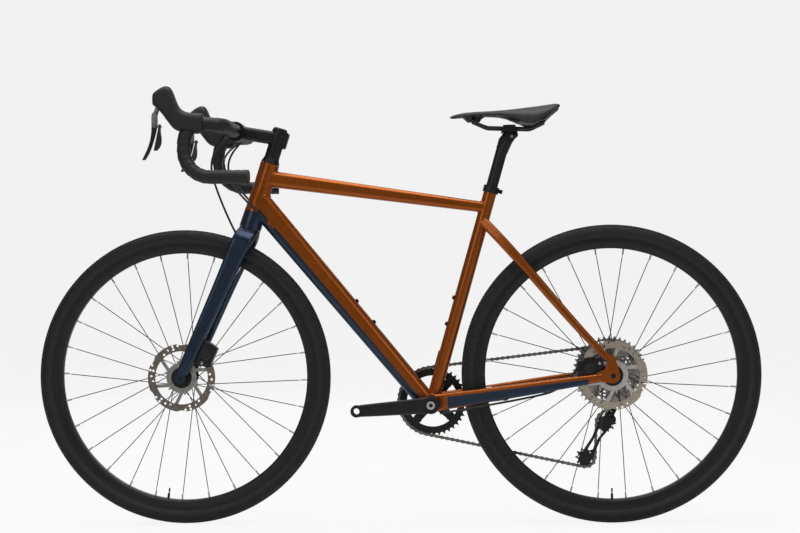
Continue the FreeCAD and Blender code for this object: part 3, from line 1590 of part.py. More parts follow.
def link_plate(low, high):
    """A figure-of-eight plate between two heights of Y, its first pin at the origin."""
    turn = math.radians(s.plate_arc_angle)
    reach = Vector(s.plate_radius * math.cos(turn), 0, s.plate_radius * math.sin(turn))
    far = ALONG_X * s.chain_pitch
    flip = Vector(-reach.x, 0, reach.z)
    waist = Vector(s.chain_pitch / 2, 0, s.plate_waist)
    low_reach, low_flip = Vector(reach.x, 0, -reach.z), Vector(-reach.x, 0, -reach.z)
    edges = [
        Part.Arc(reach, waist, far + flip).toShape(),
        Part.Arc(far + flip, far + ALONG_X * s.plate_radius, far + low_flip).toShape(),
        Part.Arc(far + low_flip, Vector(waist.x, 0, -waist.z), low_reach).toShape(),
        Part.Arc(low_reach, ALONG_X * -s.plate_radius, reach).toShape(),
    ]
    face = Part.Face(Part.Wire(edges))
    face.translate(ALONG_Y * low)
    return face.extrude(ALONG_Y * (high - low))


def inner_link():
    half = s.inner_width / 2
    solid = link_plate(half, half + s.plate_thickness)
    parts = [mirrored(solid)]
    holes = []
    for spot in (ORIGIN, ALONG_X * s.chain_pitch):
        parts.append(rod(spot - ALONG_Y * half, spot + ALONG_Y * half, s.roller_radius))
        side = ALONG_Y * (half + s.plate_thickness)
        holes.append(rod(spot - side, spot + side, s.bush_radius))
    return biggest(solid.fuse(parts).cut(holes))


def outer_link():
    low = s.inner_width / 2 + s.plate_thickness + s.link_play
    high = low + s.plate_thickness
    solid = link_plate(low, high)
    parts = [mirrored(solid)]
    for spot in (ORIGIN, ALONG_X * s.chain_pitch):
        side = ALONG_Y * (high + s.pin_stick_out)
        parts.append(rod(spot - side, spot + side, s.pin_radius))
    return biggest(solid.fuse(parts))


def chain():
    kinds = (inner_link(), outer_link())
    links = []
    for number in range(int(s.chain_links)):
        here = on_course(number * s.chain_pitch)
        there = on_course((number + 1) * s.chain_pitch)
        way = (there - here).normalize()
        side = (ALONG_Y - way * way.y).normalize()
        link = kinds[number % 2].copy()
        slack = (there - here).Length - s.chain_pitch
        link.Placement = Placement(here + way * (slack / 2), Rotation(way, side, way.cross(side), "XYZ"))
        links.append(link)
    return Part.makeCompound(links)


add("chain", chain())


# Cassette


def cog(teeth, line, phase):
    """One sprocket; the wide ones have round windows between their arms."""
    face = Part.Face(toothed(teeth, phase, s.tooth_seat, s.tooth_tip, s.tooth_tip_width))
    solid = face.extrude(ALONG_Y * s.tooth_thickness)
    solid.translate(ALONG_Y * (line - s.tooth_thickness / 2))
    low = ALONG_Y * (line - s.tooth_thickness)
    high = ALONG_Y * (line + s.tooth_thickness)
    cuts = [rod(low, high, s.freehub_radius + s.cog_bore_play)]
    if teeth >= s.cog_window_teeth:
        outer = pitch_radius(teeth) - s.tooth_seat * 2
        inner = s.spacer_radius + s.tooth_seat
        centre = (outer + inner) / 2
        for window in range(int(s.cog_window_count)):
            spot = around(centre, 360 * window / s.cog_window_count)
            cuts.append(rod(low + spot, high + spot, (outer - inner) / 2))
    return biggest(solid.cut(cuts))


def cassette():
    pieces = []
    for number, teeth in enumerate(cog_teeth):
        line = -s.largest_cog_line - number * s.cog_spacing
        phase = gap_phase(1) if number == chain_cog else 0
        if teeth > min(cog_teeth):
            pieces.append(cog(teeth, line, phase))
        else:
            plain = Part.Face(toothed(teeth, phase, s.tooth_seat, s.tooth_tip, s.tooth_tip_width))
            solid = plain.extrude(ALONG_Y * s.tooth_thickness)
            solid.translate(ALONG_Y * (line - s.tooth_thickness / 2))
            pieces.append(biggest(solid.cut(rod(ALONG_Y * (line - s.tooth_thickness),
                                                ALONG_Y * (line + s.tooth_thickness),
                                                s.lock_ring_radius + s.cog_bore_play))))
        if number + 1 < len(cog_teeth) - 1:
            start = ALONG_Y * (line - s.tooth_thickness / 2 - s.spacer_play)
            end = ALONG_Y * (line - s.cog_spacing + s.tooth_thickness / 2 + s.spacer_play)
            pieces.append(ring(start, end, s.spacer_radius, s.freehub_radius + s.cog_bore_play))
    last = -s.largest_cog_line - (len(cog_teeth) - 1) * s.cog_spacing
    neck = last + s.tooth_thickness / 2 + s.spacer_play
    body = ring(ALONG_Y * -s.freehub_start, ALONG_Y * neck, s.freehub_radius, s.freehub_bore)
    core = ring(ALONG_Y * neck, ALONG_Y * -s.freehub_end, s.lock_ring_radius, s.freehub_bore)
    pieces.append(biggest(body.fuse(core)))
    return Part.makeCompound(pieces)


add("cassette", cassette(), Placement(rear_axle, Rotation()))


# Cranks


def crank_arm():
    """An arm that points forward from the spindle, on the left side."""
    wires = []
    for row in ("boss", "neck", "middle", "end"):
        reach, out, wide, tall = station("arm", row, "reach out wide tall")
        wires.append(rounded(wide, tall, s.arm_corner, Vector(reach, out, 0), ALONG_Y, ALONG_Z))
    eye = ALONG_X * s.crank_length
    solid = loft(wires).fuse([
        rod(ALONG_Y * s.arm_start, ALONG_Y * s.arm_boss_end, s.arm_boss_radius),
        rod(eye + ALONG_Y * s.pedal_boss_inner, eye + ALONG_Y * s.pedal_boss_outer, s.pedal_boss_radius)])
    return solid.cut(rod(eye, eye + ALONG_Y * s.crank_length, s.pedal_hole_radius))


crank_place = Placement(bracket, Rotation(ALONG_Y, s.crank_rest))
left_arm = crank_arm().cut(rod(ORIGIN, ALONG_Y * s.crank_length, s.spindle_radius + s.seat_play / 2))

cap = rod(ALONG_Y * (s.spindle_left_end - s.cap_depth), ALONG_Y * s.arm_boss_end, s.cap_radius)
cap = cap.fuse(rod(ALONG_Y * s.arm_boss_end, ALONG_Y * (s.arm_boss_end + s.cap_rim_height),
                   s.cap_rim_radius))
cap = cap.cut(rod(ALONG_Y * (s.arm_boss_end - s.cap_rim_height * 2),
                  ALONG_Y * (s.arm_boss_end + s.cap_rim_height), s.cap_radius / 2))
add("crank_arm_left", Part.makeCompound([biggest(left_arm), biggest(cap)]), crank_place)

ring_face = -s.ring_line - s.ring_body_thickness / 2
bolt_turns = [s.spider_turn + 360 * number / s.spider_arms for number in range(int(s.spider_arms))]


def right_arm():
    solid = mirrored(crank_arm())
    solid.rotate(ORIGIN, ALONG_Y, 180)
    parts = []
    holes = []
    for turn in bolt_turns:
        out = around(1, turn)
        side = ALONG_Y.cross(out)
        inner = ALONG_Y * (ring_face - s.seat_play / 2)
        eye = out * s.ring_bolt_circle
        blade = loft([rounded(s.spider_wide, s.spider_thickness, s.chain_pitch, inner + out * (
            s.arm_boss_radius / 2) - ALONG_Y * (s.spider_thickness / 2), side, ALONG_Y),
            rounded(s.spider_wide - s.spider_thickness, s.spider_thickness, s.chain_pitch,
                    inner + eye - ALONG_Y * (s.spider_thickness / 2), side, ALONG_Y)])
        parts.append(blade)
        parts.append(rod(inner + eye, inner + eye - ALONG_Y * s.spider_thickness, s.spider_eye))
        hole_end = inner + eye - ALONG_Y * s.spider_thickness * 2
        hole_start = inner + eye + ALONG_Y * s.seat_play
        holes.append(rod(hole_start, hole_end, s.ring_bolt_radius + s.seat_play / 2))
    seat = rod(ALONG_Y * -s.spindle_right_end, ORIGIN, s.spindle_radius + s.seat_play / 2)
    return biggest(solid.fuse(parts).cut(holes + [seat]))


spindle = ring(ALONG_Y * -s.spindle_right_end, ALONG_Y * s.spindle_left_end, s.spindle_radius,
               s.spindle_bore_radius)
add("crank_arm_right", Part.makeCompound([right_arm(), spindle]), crank_place)


def chainring():
    """Ring with thin teeth on a thicker band, and a tab at each arm of the spider."""
    phase = gap_phase(0) + math.radians(s.crank_rest)
    teeth_face = Part.Face(toothed(s.ring_teeth, phase, s.tooth_seat, s.tooth_tip, s.tooth_tip_width))
    solid = teeth_face.extrude(ALONG_Y * s.tooth_thickness)
    solid.translate(ALONG_Y * (-s.ring_line - s.tooth_thickness / 2))
    low = ALONG_Y * (-s.ring_line - s.ring_body_thickness / 2)
    high = ALONG_Y * (-s.ring_line + s.ring_body_thickness / 2)
    solid = solid.cut(rod(low, high, s.ring_inner_radius))
    parts = [ring(low, high, s.ring_body_outer, s.ring_inner_radius)]
    holes = []
    for turn in bolt_turns:
        eye = around(s.ring_bolt_circle, turn)
        outer = around(s.ring_body_outer - s.ring_tab_radius, turn)
        parts.append(rod(low + eye, high + eye, s.ring_tab_radius))
        parts.append(rod(low + outer, high + outer, s.ring_tab_radius))
        holes.append(rod(low + eye, high + eye, s.ring_bolt_radius + s.seat_play / 2))
    return biggest(solid.fuse(parts).cut(holes))


add("chainring", chainring(), crank_place)

ring_bolts = []
for turn in bolt_turns:
    eye = around(s.ring_bolt_circle, turn)
    near = eye + ALONG_Y * (-s.ring_line + s.ring_body_thickness / 2 + s.seat_play / 2)
    far = eye + ALONG_Y * (ring_face - s.spider_thickness - s.seat_play)
    head = ALONG_Y * s.ring_bolt_head_height
    bolt = rod(near, far, s.ring_bolt_radius).fuse([
        rod(near, near + head, s.ring_bolt_head), rod(far, far - head, s.ring_bolt_head)])
    ring_bolts.append(biggest(bolt.cut(rod(far, far - head, s.ring_bolt_radius / 2))))
add("chainring_bolts", Part.makeCompound(ring_bolts), crank_place)


# Rear derailleur



def flat(name, rows, low, high, frame):
    """A plate between two heights of Y whose corners come from a table."""
    spots = [Vector(float(sheet.get("%s_%s_x" % (name, row))), low,
                    float(sheet.get("%s_%s_z" % (name, row)))) for row, _ in rows]
    solid = Part.Face(Part.makePolygon(spots + spots[:1])).extrude(ALONG_Y * (high - low))
    edges = [edge for edge in solid.Edges if across(edge)]
    solid = solid.makeFillet(s.cage_round, edges)
    solid.Placement = frame
    return solid


bolt_spot = rear_axle + Vector(-s.bolt_back, 0, -s.bolt_drop)
hanger_low = -s.rear_hub_width / 2 - s.dropout_thickness + (s.dropout_thickness - s.hanger_thick) / 2
hanger = flat("hanger", HANGER, hanger_low, hanger_low + s.hanger_thick, Placement(rear_axle, Rotation()))
hanger = hanger.cut(right_dropout.Shape)
hanger = hanger.cut(rod(bolt_spot, bolt_spot - ALONG_Y * s.wheelbase, s.bolt_radius + s.seat_play / 2))
hanger_piece = add("derailleur_hanger", biggest(hanger), node=False)
group("dropouts", [left_dropout, right_dropout, hanger_piece])

slant = Vector(s.slant_fore, 0, s.slant_up).normalize()
slant_down = Vector(slant.z, 0, -slant.x)
cage_pivot = Vector(guide.x - s.pivot_back, 0, guide.z + s.pivot_up)
lower_pin = cage_pivot + Vector(-s.lower_pin_back, -s.lower_pin_line, s.lower_pin_up)
link_turn = math.asin(s.link_rest_in / s.link_pitch)
link_way = slant_down * math.cos(link_turn) + ALONG_Y * math.sin(link_turn)
upper_pin = lower_pin - link_way * s.link_pitch


def clevis(foot, root, tail):
    """Two cheeks with two pins between them; root and tail give the reach of the block behind."""
    low, high = min(root, tail), max(root, tail)
    reach = s.cheek_over if root < 0 else -s.cheek_over
    first, last = min(reach, tail), max(reach, tail)
    wide = s.link_gap + 2 * s.cheek_side
    parts = []
    for bottom in (s.cheek_inner, -s.cheek_outer):
        parts.append(Part.makeBox(last - first, wide, s.cheek_outer - s.cheek_inner,
                                  Vector(first, -s.cheek_side, bottom)))
    corner = Vector(low, -s.cheek_side, -s.cheek_outer)
    parts.append(Part.makeBox(high - low, wide, 2 * s.cheek_outer, corner))
    for line in (0, s.link_gap):
        spot = ALONG_Y * line
        parts.append(rod(spot - ALONG_Z * s.cheek_outer, spot + ALONG_Z * s.cheek_outer, s.link_pin))
    solid = parts[0].fuse(parts[1:])
    solid.Placement = Placement(foot, Rotation(slant_down, ALONG_Y, slant, "XYZ"))
    return solid


def bracket_knuckle():
    """The knuckle that hangs on the frame and carries the upper pins of the two links."""
    near = hanger_low - s.seat_play
    boss_top = Vector(bolt_spot.x, near, bolt_spot.z)
    boss_end = boss_top - ALONG_Y * s.knuckle_length
    middle = (boss_top + boss_end) * 0.5
    corner_spot = upper_pin - slant_down * s.strut_back
    corner_out = Vector(corner_spot.x, middle.y, corner_spot.z)
    parts = [
        rod(boss_top, boss_end, s.knuckle_radius),
        rod(boss_top + ALONG_Y * s.hanger_thick, boss_end, s.bolt_radius),
        rod(corner_spot, corner_out, s.strut_radius),
        Part.makeSphere(s.strut_radius, corner_out),
        rod(corner_out, middle, s.strut_radius),
    ]
    solid = clevis(upper_pin, -s.cheek_root, -s.cheek_tail).fuse(parts)
    return biggest(solid)


add("derailleur_bracket", bracket_knuckle())


def link(covered):
    parts = [rod(ALONG_Z * -s.link_half_thick, ALONG_Z * s.link_half_thick, s.link_eye)]
    far = ALONG_X * s.link_pitch
    parts.append(rod(far - ALONG_Z * s.link_half_thick, far + ALONG_Z * s.link_half_thick, s.link_eye))
    if covered:
        parts.append(Part.makeBox(s.cover_last - s.cover_first, s.cover_out + s.link_half_wide,
                                  2 * s.cover_half_thick,
                                  Vector(s.cover_first, -s.cover_out, -s.cover_half_thick)))
    bar = Part.makeBox(s.link_pitch, 2 * s.link_half_wide, 2 * s.link_half_thick,
                       Vector(0, -s.link_half_wide, -s.link_half_thick))
    solid = bar.fuse(parts)
    for spot in (ORIGIN, far):
        solid = solid.cut(rod(spot - ALONG_Z * s.cheek_outer, spot + ALONG_Z * s.cheek_outer,
                              s.link_pin + s.running_play))
    return biggest(solid)


link_frame = Rotation(link_way, slant.cross(link_way), slant, "XYZ")
add("derailleur_outer_link", link(True), Placement(upper_pin, link_frame))
add("derailleur_inner_link", link(False), Placement(upper_pin + ALONG_Y * s.link_gap, link_frame))

knuckle = clevis(lower_pin, s.cheek_root, s.cheek_tail)
knuckle = knuckle.fuse(rod(cage_pivot - ALONG_Y * s.cage_knuckle_start,
                           cage_pivot - ALONG_Y * s.cage_knuckle_end, s.cage_knuckle_radius))
knuckle = knuckle.cut(rod(cage_pivot, cage_pivot - ALONG_Y * (s.cage_knuckle_end - s.cage_round),
                          s.cage_pin + s.running_play))
add("derailleur_cage_knuckle", biggest(knuckle))

cage_frame = Placement(Vector(guide.x, 0, guide.z), Rotation(ALONG_Y, -cage_angle))


def cage():
    parts = []
    for low in (cog_line - s.cage_half_gap - s.cage_plate, cog_line + s.cage_half_gap):
        sheet_metal = flat("cage", CAGE, low, low + s.cage_plate, cage_frame)
        parts.append(sheet_metal.cut(flat("cage_window", WINDOW, low - s.cage_plate,
                                          low + 2 * s.cage_plate, cage_frame)))
    reach = ALONG_Y * (s.cage_half_gap + s.cage_plate)
    for centre in (guide, tension):
        spot = Vector(centre.x, cog_line, centre.z)
        parts.append(rod(spot - reach, spot + reach, s.pulley_bolt))
    parts.append(rod(cage_pivot + ALONG_Y * (cog_line - s.cage_half_gap),
                     cage_pivot - ALONG_Y * (s.cage_knuckle_end - 2 * s.cage_round), s.cage_pin))
    return biggest(parts[0].fuse(parts[1:]))


add("derailleur_cage", cage())


def pulley(number):
    centre = chain_wheels[number][0]
    edge = toothed(s.pulley_teeth, gap_phase(number), s.tooth_seat, s.pulley_tip, s.tooth_tip_width)
    face = Part.Face(edge)
    solid = face.extrude(ALONG_Y * s.tooth_thickness)
    solid.translate(ALONG_Y * (-s.tooth_thickness / 2))
    hub_half = ALONG_Y * s.pulley_hub_half
    solid = solid.fuse(rod(hub_half * -1, hub_half, s.pulley_hub))
    cuts = [rod(hub_half * -1, hub_half, s.pulley_bolt + s.running_play)]
    for window in range(int(s.pulley_windows)):
        spot = around(s.pulley_window_circle, 360 * window / s.pulley_windows)
        cuts.append(rod(spot - hub_half, spot + hub_half, s.pulley_window))
    return biggest(solid.cut(cuts)), Placement(Vector(centre.x, cog_line, centre.z), Rotation())


add("guide_pulley", *pulley(2))
add("tension_pulley", *pulley(3))


# Stem and bar

cover_foot = s.headset_gap + s.head_tube_length + s.headset_gap
spacer_foot = cover_foot + s.cover_height + s.running_play
stem_foot = spacer_foot + s.spacer_height + s.running_play
stem_top = stem_foot + s.stem_clamp_height
stem_spot = on_steerer(stem_foot + s.stem_clamp_height / 2)
stem_way = Rotation(ALONG_Y, s.stem_drop).multVec(steer_fore)
stem_up = Vector(-stem_way.z, 0, stem_way.x)
bar_centre = stem_spot + stem_way * s.stem_length
stem_frame = Placement(bar_centre, Rotation(stem_way, ALONG_Y, stem_up, "ZXY"))

headset_cover = turned("headset_cover", [[
    ("steerer_radius + running_play", "0"), ("head_top_radius", "0"),
    ("headset_cover_top", "cover_height"), ("steerer_radius + running_play", "cover_height"),
]], turn_to(steer_up, on_steerer(cover_foot)), node=False)
spacer = turned("steerer_spacer", [[
    ("steerer_radius + running_play", "0"), ("spacer_outer", "0"),
    ("spacer_outer", "spacer_height"), ("steerer_radius + running_play", "spacer_height"),
]], turn_to(steer_up, on_steerer(spacer_foot)), node=False)
top_cap = turned("top_cap", [[
    ("top_bolt", "0"), ("cap_top_radius", "0"), ("cap_top_radius", "cap_height / 2"),
    ("cap_top_radius - cap_height / 2", "cap_height"), ("top_bolt", "cap_height"),
]], turn_to(steer_up, on_steerer(stem_top + s.running_play)), node=False)
group("headset_covers", [headset_cover, spacer, top_cap])


def in_stem(shape):
    shape.Placement = stem_frame
    return shape


def face_bolts(radius, start, end):
    """Four rods through the faceplate, in the stem's own frame."""
    rods = []
    for out in (s.face_bolt_out, -s.face_bolt_out):
        for up in (s.face_bolt_up, -s.face_bolt_up):
            spot = Vector(0, out, up)
            rods.append(rod(spot + ALONG_X * start, spot + ALONG_X * end, radius))
    return rods


def pinch_bolts(radius, length):
    rods = []
    for step in (s.pinch_step, -s.pinch_step):
        spot = stem_spot - steer_fore * s.pinch_back + steer_up * step
        rods.append(rod(spot - ALONG_Y * (length / 2), spot + ALONG_Y * (length / 2), radius))
    return rods


def bar_room():
    half = ALONG_Y * s.stem_length
    return rod(half * -1, half, s.bar_clamp_radius + s.seat_play / 2)


def stem():
    clamp = rod(on_steerer(stem_foot), on_steerer(stem_top), s.stem_clamp_radius)
    ear = Part.makeBox(s.stem_ear_deep, s.stem_ear_wide, s.stem_clamp_height * s.corner_share,
                       Vector(-s.stem_ear_deep, -s.stem_ear_wide / 2,
                              -s.stem_clamp_height * s.corner_share / 2))
    ear = ear.makeFillet(s.stem_corner / 2, [edge for edge in ear.Edges
                                             if edge.BoundBox.XMax < -s.stem_ear_deep / 2])
    ear.Placement = Placement(stem_spot, Rotation(steer_fore, ALONG_Y, steer_up, "ZXY"))
    arm = loft([rounded(s.stem_wide, s.stem_tall, s.stem_corner, stem_spot, ALONG_Y, stem_up),
                rounded(s.stem_wide, s.stem_tall, s.stem_corner, bar_centre, ALONG_Y, stem_up)])
    barrel = in_stem(rod(ALONG_Y * (-s.barrel_wide / 2), ALONG_Y * (s.barrel_wide / 2), s.barrel_round))
    front = in_stem(Part.makeBox(s.stem_length, s.stem_length, s.stem_length,
                                 Vector(-s.faceplate_gap / 2, -s.stem_length / 2, -s.stem_length / 2)))
    bore = in_stem(bar_room())
    slit = Part.makeBox(s.stem_length / 2, s.stem_slit, s.stem_length,
                        Vector(-s.stem_length / 2, -s.stem_slit / 2, -s.stem_length / 2))
    slit.Placement = ear.Placement
    holes = [in_stem(one) for one in face_bolts(s.stem_bolt + s.running_play, -s.face_bolt_back, 0)]
    holes += pinch_bolts(s.stem_bolt + s.running_play, s.stem_length)
    solid = clamp.fuse([ear, arm, barrel])
    steerer = rod(on_steerer(0), on_steerer(s.steerer_length * 2), s.steerer_radius + s.running_play / 2)
    return biggest(solid.cut([front, bore, steerer, slit] + holes))


def faceplate():
    block = rod(ALONG_Y * (-s.barrel_wide / 2), ALONG_Y * (s.barrel_wide / 2), s.barrel_round)
    rear = Part.makeBox(s.stem_length, s.stem_length, s.stem_length,
                        Vector(s.faceplate_gap / 2 - s.stem_length, -s.stem_length / 2, -s.stem_length / 2))
    cuts = [rear, bar_room()]
    cuts += face_bolts(s.stem_bolt + s.running_play, 0, s.stem_length)
    cuts += face_bolts(s.stem_bolt_head + s.seat_play, s.face_bolt_fore, s.stem_length)
    return biggest(block.cut(cuts))


add("stem", stem())
add("stem_faceplate", faceplate(), stem_frame)
bolts = []
for shank, head in zip(face_bolts(s.stem_bolt, -s.face_bolt_back, s.face_bolt_fore),
                       face_bolts(s.stem_bolt_head, s.face_bolt_fore,
                                  s.face_bolt_fore + s.stem_bolt_head_height)):
    bolts.append(in_stem(biggest(shank.fuse(head))))
bolts += pinch_bolts(s.stem_bolt, s.pinch_length)
add("stem_bolts", Part.makeCompound(bolts))


def bar_corner(row, side):
    fore, out, up = station("bar", row, "fore out up")
    return bar_centre + Vector(fore, out * side, up)


def bar_path(side, start):
    return path([bar_centre + ALONG_Y * (start * side)] + [bar_corner(row, side) for row in
                                                           ("corner", "front", "hook", "end")],
                [s.bar_corner_bend, s.bar_front_bend, s.bar_hook_bend])


def handlebar():
    """Thick middle, cones, and the two bent sides; a plug closes each end."""
    middle = ALONG_Y * s.bar_thick_half
    cone_way = ALONG_Y * s.bar_cone_half
    parts = [rod(bar_centre - middle, bar_centre + middle, s.bar_clamp_radius)]
    plugs = []
    for side in (1, -1):
        parts.append(Part.makeCone(s.bar_clamp_radius, s.bar_radius, s.bar_cone_half - s.bar_thick_half,
                                   bar_centre + middle * side, ALONG_Y * side))
        parts.append(swept(bar_path(side, s.bar_cone_half), s.bar_radius))
        way = (bar_corner("end", side) - bar_corner("hook", side)).normalize()
        end = bar_corner("end", side) + way * s.tape_play
        plugs.append(rod(end, end + way * s.plug_height, s.plug_radius))
    return Part.makeCompound([biggest(parts[0].fuse(parts[1:]))] + plugs)


add("handlebar", handlebar())


def tape(side, radius):
    return swept(bar_path(side, s.tape_start), radius)


tapes = [tape(side, s.tape_radius) for side in (1, -1)]
add("bar_tape", Part.makeCompound([biggest(solid.cut(tape(side, s.bar_radius + s.tape_play)))
                                   for side, solid in zip((1, -1), tapes)]))


# Hoods, levers and paddles


def hood(tape_solid):
    wires = []
    for row in ("base", "grip", "rise", "horn", "nose", "tip"):
        fore, up, tall, wide = station("hood", row, "fore up tall wide")
        wires.append(rounded(wide, tall, s.hood_corner, bar_centre + Vector(fore, s.hood_line, up),
                             ALONG_Y, ALONG_Z))
    solid = loft(wires)
    pivot = bar_centre + Vector(s.lever_pivot_fore, s.lever_line, s.lever_pivot_up)
    side = ALONG_Y * (s.lever_slot / 2)
    slot = rod(pivot - side, pivot + side, s.lever_slot_round)
    mouth = Part.makeBox(s.lever_slot_deep, s.lever_slot, s.lever_slot_tall,
                         pivot - side - ALONG_Z * s.lever_slot_low - ALONG_X * s.lever_slot_back)
    pin_side = ALONG_Y * (s.lever_pin_length / 2)
    pin = rod(pivot - pin_side, pivot + pin_side, s.lever_pin)
    solid = biggest(solid.cut([slot, mouth, pin, tape_solid]))
    return [solid, pin]


left_hood = hood(tapes[0])
add("lever_hoods", Part.makeCompound(left_hood + [mirrored(one) for one in left_hood]))


def brake_lever():
    wires = []
    for row in ("top", "shoulder", "upper", "middle", "lower", "tip"):
        up, fore, wide, deep = station("lever", row, "up fore wide deep")
        wires.append(rounded(deep, wide, s.lever_corner, bar_centre + Vector(fore, s.lever_line, up),
                             ALONG_X, ALONG_Y))
    pivot = bar_centre + Vector(s.lever_pivot_fore, s.lever_line, s.lever_pivot_up)
    side = ALONG_Y * (s.lever_boss_wide / 2)
    lug_foot = bar_centre + Vector(s.lever_shoulder_fore, s.lever_line, s.lever_shoulder_up)
    lug = loft([rounded(s.lug_deep, s.lever_boss_wide, s.lever_corner, spot, ALONG_X, ALONG_Y)
                for spot in (pivot, lug_foot)])
    pin_end = bar_centre + Vector(s.lever_upper_fore, s.lever_line, s.paddle_pivot_up)
    pin_root = bar_centre + Vector(s.paddle_root_fore, s.lever_line, s.paddle_pivot_up)
    pin = rod(pin_end, pin_root - ALONG_X * s.paddle_thick, s.paddle_pin)
    solid = loft(wires).fuse([rod(pivot - side, pivot + side, s.lever_boss), lug, pin])
    return biggest(solid.cut(rod(pivot - side, pivot + side, s.lever_pin + s.running_play)))


left_lever = brake_lever()
add("brake_lever_left", left_lever)
add("brake_lever_right", mirrored(left_lever))


def paddle():
    wires = []
    for row in ("root", "middle", "end", "tip"):
        up, out, wide, fore, deep = station("paddle", row, "up out wide fore deep")
        spot = bar_centre + Vector(fore, s.lever_line + out, up)
        wires.append(rounded(deep, wide, s.paddle_corner, spot, ALONG_X, ALONG_Y))
    hub_middle = bar_centre + Vector(s.paddle_root_fore, s.lever_line, s.paddle_pivot_up)
    half = ALONG_X * (s.paddle_thick / 2)
    solid = loft(wires).fuse(rod(hub_middle - half, hub_middle + half, s.paddle_hub))
    hole = rod(hub_middle - half * 2, hub_middle + half * 2, s.paddle_pin + s.running_play)
    return biggest(solid.cut(hole))


left_paddle = paddle()
add("shift_paddle_left", left_paddle)
add("shift_paddle_right", mirrored(left_paddle))


# Seatpost and saddle

SADDLE_ROWS = ("nose", "snout", "neck", "waist", "flare", "wing", "rump", "tail")

barrel_spot = on_seat(s.head_up) + seat_back * s.head_back


def saddle_section(row):
    """Cross-section with a crowned top and drawn-in sides."""
    x, half, top, low = station("saddle", row, "x half top low")
    tall = top - low
    foot = Vector(x, half * s.saddle_foot_share, low)
    belly = Vector(x, half, low + tall * s.saddle_side_share)
    edge = Vector(x, half * s.saddle_edge_share, low + tall * s.saddle_edge_share)
    flip = [Vector(one.x, -one.y, one.z) for one in (foot, belly, edge)]
    return Part.Wire([
        Part.makeLine(flip[0], foot),
        Part.Arc(foot, belly, edge).toShape(),
        Part.Arc(edge, Vector(x, 0, top), flip[2]).toShape(),
        Part.Arc(flip[2], flip[1], flip[0]).toShape(),
    ])


saddle_cover = add("saddle_cover", loft([saddle_section(row) for row in SADDLE_ROWS]))


def rail(side, radius):
    spots = [Vector(x, out * side, z) for x, out, z in
             (station("rail", row, "x out z") for row in ("front", "front_bend", "rear_bend", "rear"))]
    return swept(path(spots, [s.rail_bend, s.rail_bend]), radius)


rails = [biggest(rail(side, s.rail_radius).cut(saddle_cover.Shape)) for side in (1, -1)]
add("saddle_rails", Part.makeCompound(rails))
rail_height = (s.rail_front_bend_z + s.rail_rear_bend_z) / 2
clamp_spot = Vector(barrel_spot.x, 0, rail_height)


def clamp_block(low, high, shorter):
    solid = Part.makeBox(s.clamp_deep - shorter, s.clamp_wide, high - low,
                         Vector(-(s.clamp_deep - shorter) / 2, -s.clamp_wide / 2, low))
    upright = [edge for edge in solid.Edges if edge.BoundBox.ZLength > edge.BoundBox.DiagonalLength / 2]
    solid = solid.makeFillet(s.clamp_round, upright)
    solid.Placement = Placement(clamp_spot, Rotation())
    return solid


clamp_bolt_top = clamp_spot + ALONG_Z * s.clamp_high
clamp_bolt_foot = barrel_spot - ALONG_Z * (s.head_radius / 2)


def seatpost():
    post = rod(on_seat(s.post_foot), on_seat(s.post_head), s.seatpost_radius)
    inside = rod(on_seat(s.post_foot), on_seat(s.post_head - s.head_radius * 2),
                 s.seatpost_radius - s.post_wall)
    side = ALONG_Y * (s.head_wide / 2)
    barrel = rod(barrel_spot - side, barrel_spot + side, s.head_radius)
    neck = loft([rounded(s.seatpost_radius * 2 * s.corner_share, s.seatpost_radius * 2 * s.corner_share,
                         s.seatpost_radius, on_seat(s.post_head - s.head_radius * 3), ALONG_Y, seat_back),
                 rounded(s.head_wide, s.head_radius * 2, s.head_radius, barrel_spot, ALONG_Y, ALONG_X)])
    solid = post.cut(inside).fuse([neck, barrel])
    hole = rod(clamp_bolt_foot, clamp_bolt_top, s.clamp_bolt + s.running_play)
    return biggest(solid.cut(hole))


post_shape = seatpost()
add("seatpost", post_shape)
clamp_side = ALONG_Y * s.clamp_wide
barrel_room = rod(barrel_spot - clamp_side, barrel_spot + clamp_side, s.head_radius)
lower_clamp = clamp_block(-s.clamp_low, -s.clamp_gap / 2, 0).cut(rails).cut(barrel_room).cut(post_shape)
upper_clamp = clamp_block(s.clamp_gap / 2, s.clamp_high, s.clamp_low).cut(rails)
clamp_hole = rod(clamp_bolt_foot, clamp_bolt_top + ALONG_Z * s.clamp_gap, s.clamp_bolt + s.running_play)
clamp_bolt_end = clamp_bolt_top + ALONG_Z * s.clamp_round
clamp_bolt_head = rod(clamp_bolt_top + ALONG_Z * s.running_play, clamp_bolt_end, s.clamp_bolt_head)
clamp_bolt = rod(clamp_bolt_foot, clamp_bolt_end, s.clamp_bolt).fuse(clamp_bolt_head)
clamp_parts = [biggest(lower_clamp.cut(clamp_hole)), biggest(upper_clamp.cut(clamp_hole)), clamp_bolt]
add("saddle_clamp", Part.makeCompound(clamp_parts))


def shell_section(row):
    x, half, _, low = station("saddle", row, "x half top low")
    wide = 2 * (half * s.saddle_foot_share - s.shell_inset)
    centre = Vector(x, 0, low - s.shell_play - s.shell_thick / 2)
    return rounded(wide, s.shell_thick, s.shell_thick / 3, centre, ALONG_Y, ALONG_Z)


shell = loft([shell_section(row) for row in SADDLE_ROWS]).cut(rails)
add("saddle_shell", biggest(shell))


# Hoses and cable


rear_hose = line(*REAR_HOSE, s.hose_radius).cut(rear_caliper.Shape)
rear_cable = line(*REAR_CABLE, s.hose_radius).cut(right_chainstay)
add("front_brake_hose", line(*FRONT_HOSE, s.hose_radius))
add("shift_cable", Part.makeCompound([line(*LEFT_LINE, s.hose_radius), biggest(rear_cable)]))
add("rear_brake_hose", Part.makeCompound([line(*RIGHT_LINE, s.hose_radius), biggest(rear_hose)]))


# Check and write every sub-part

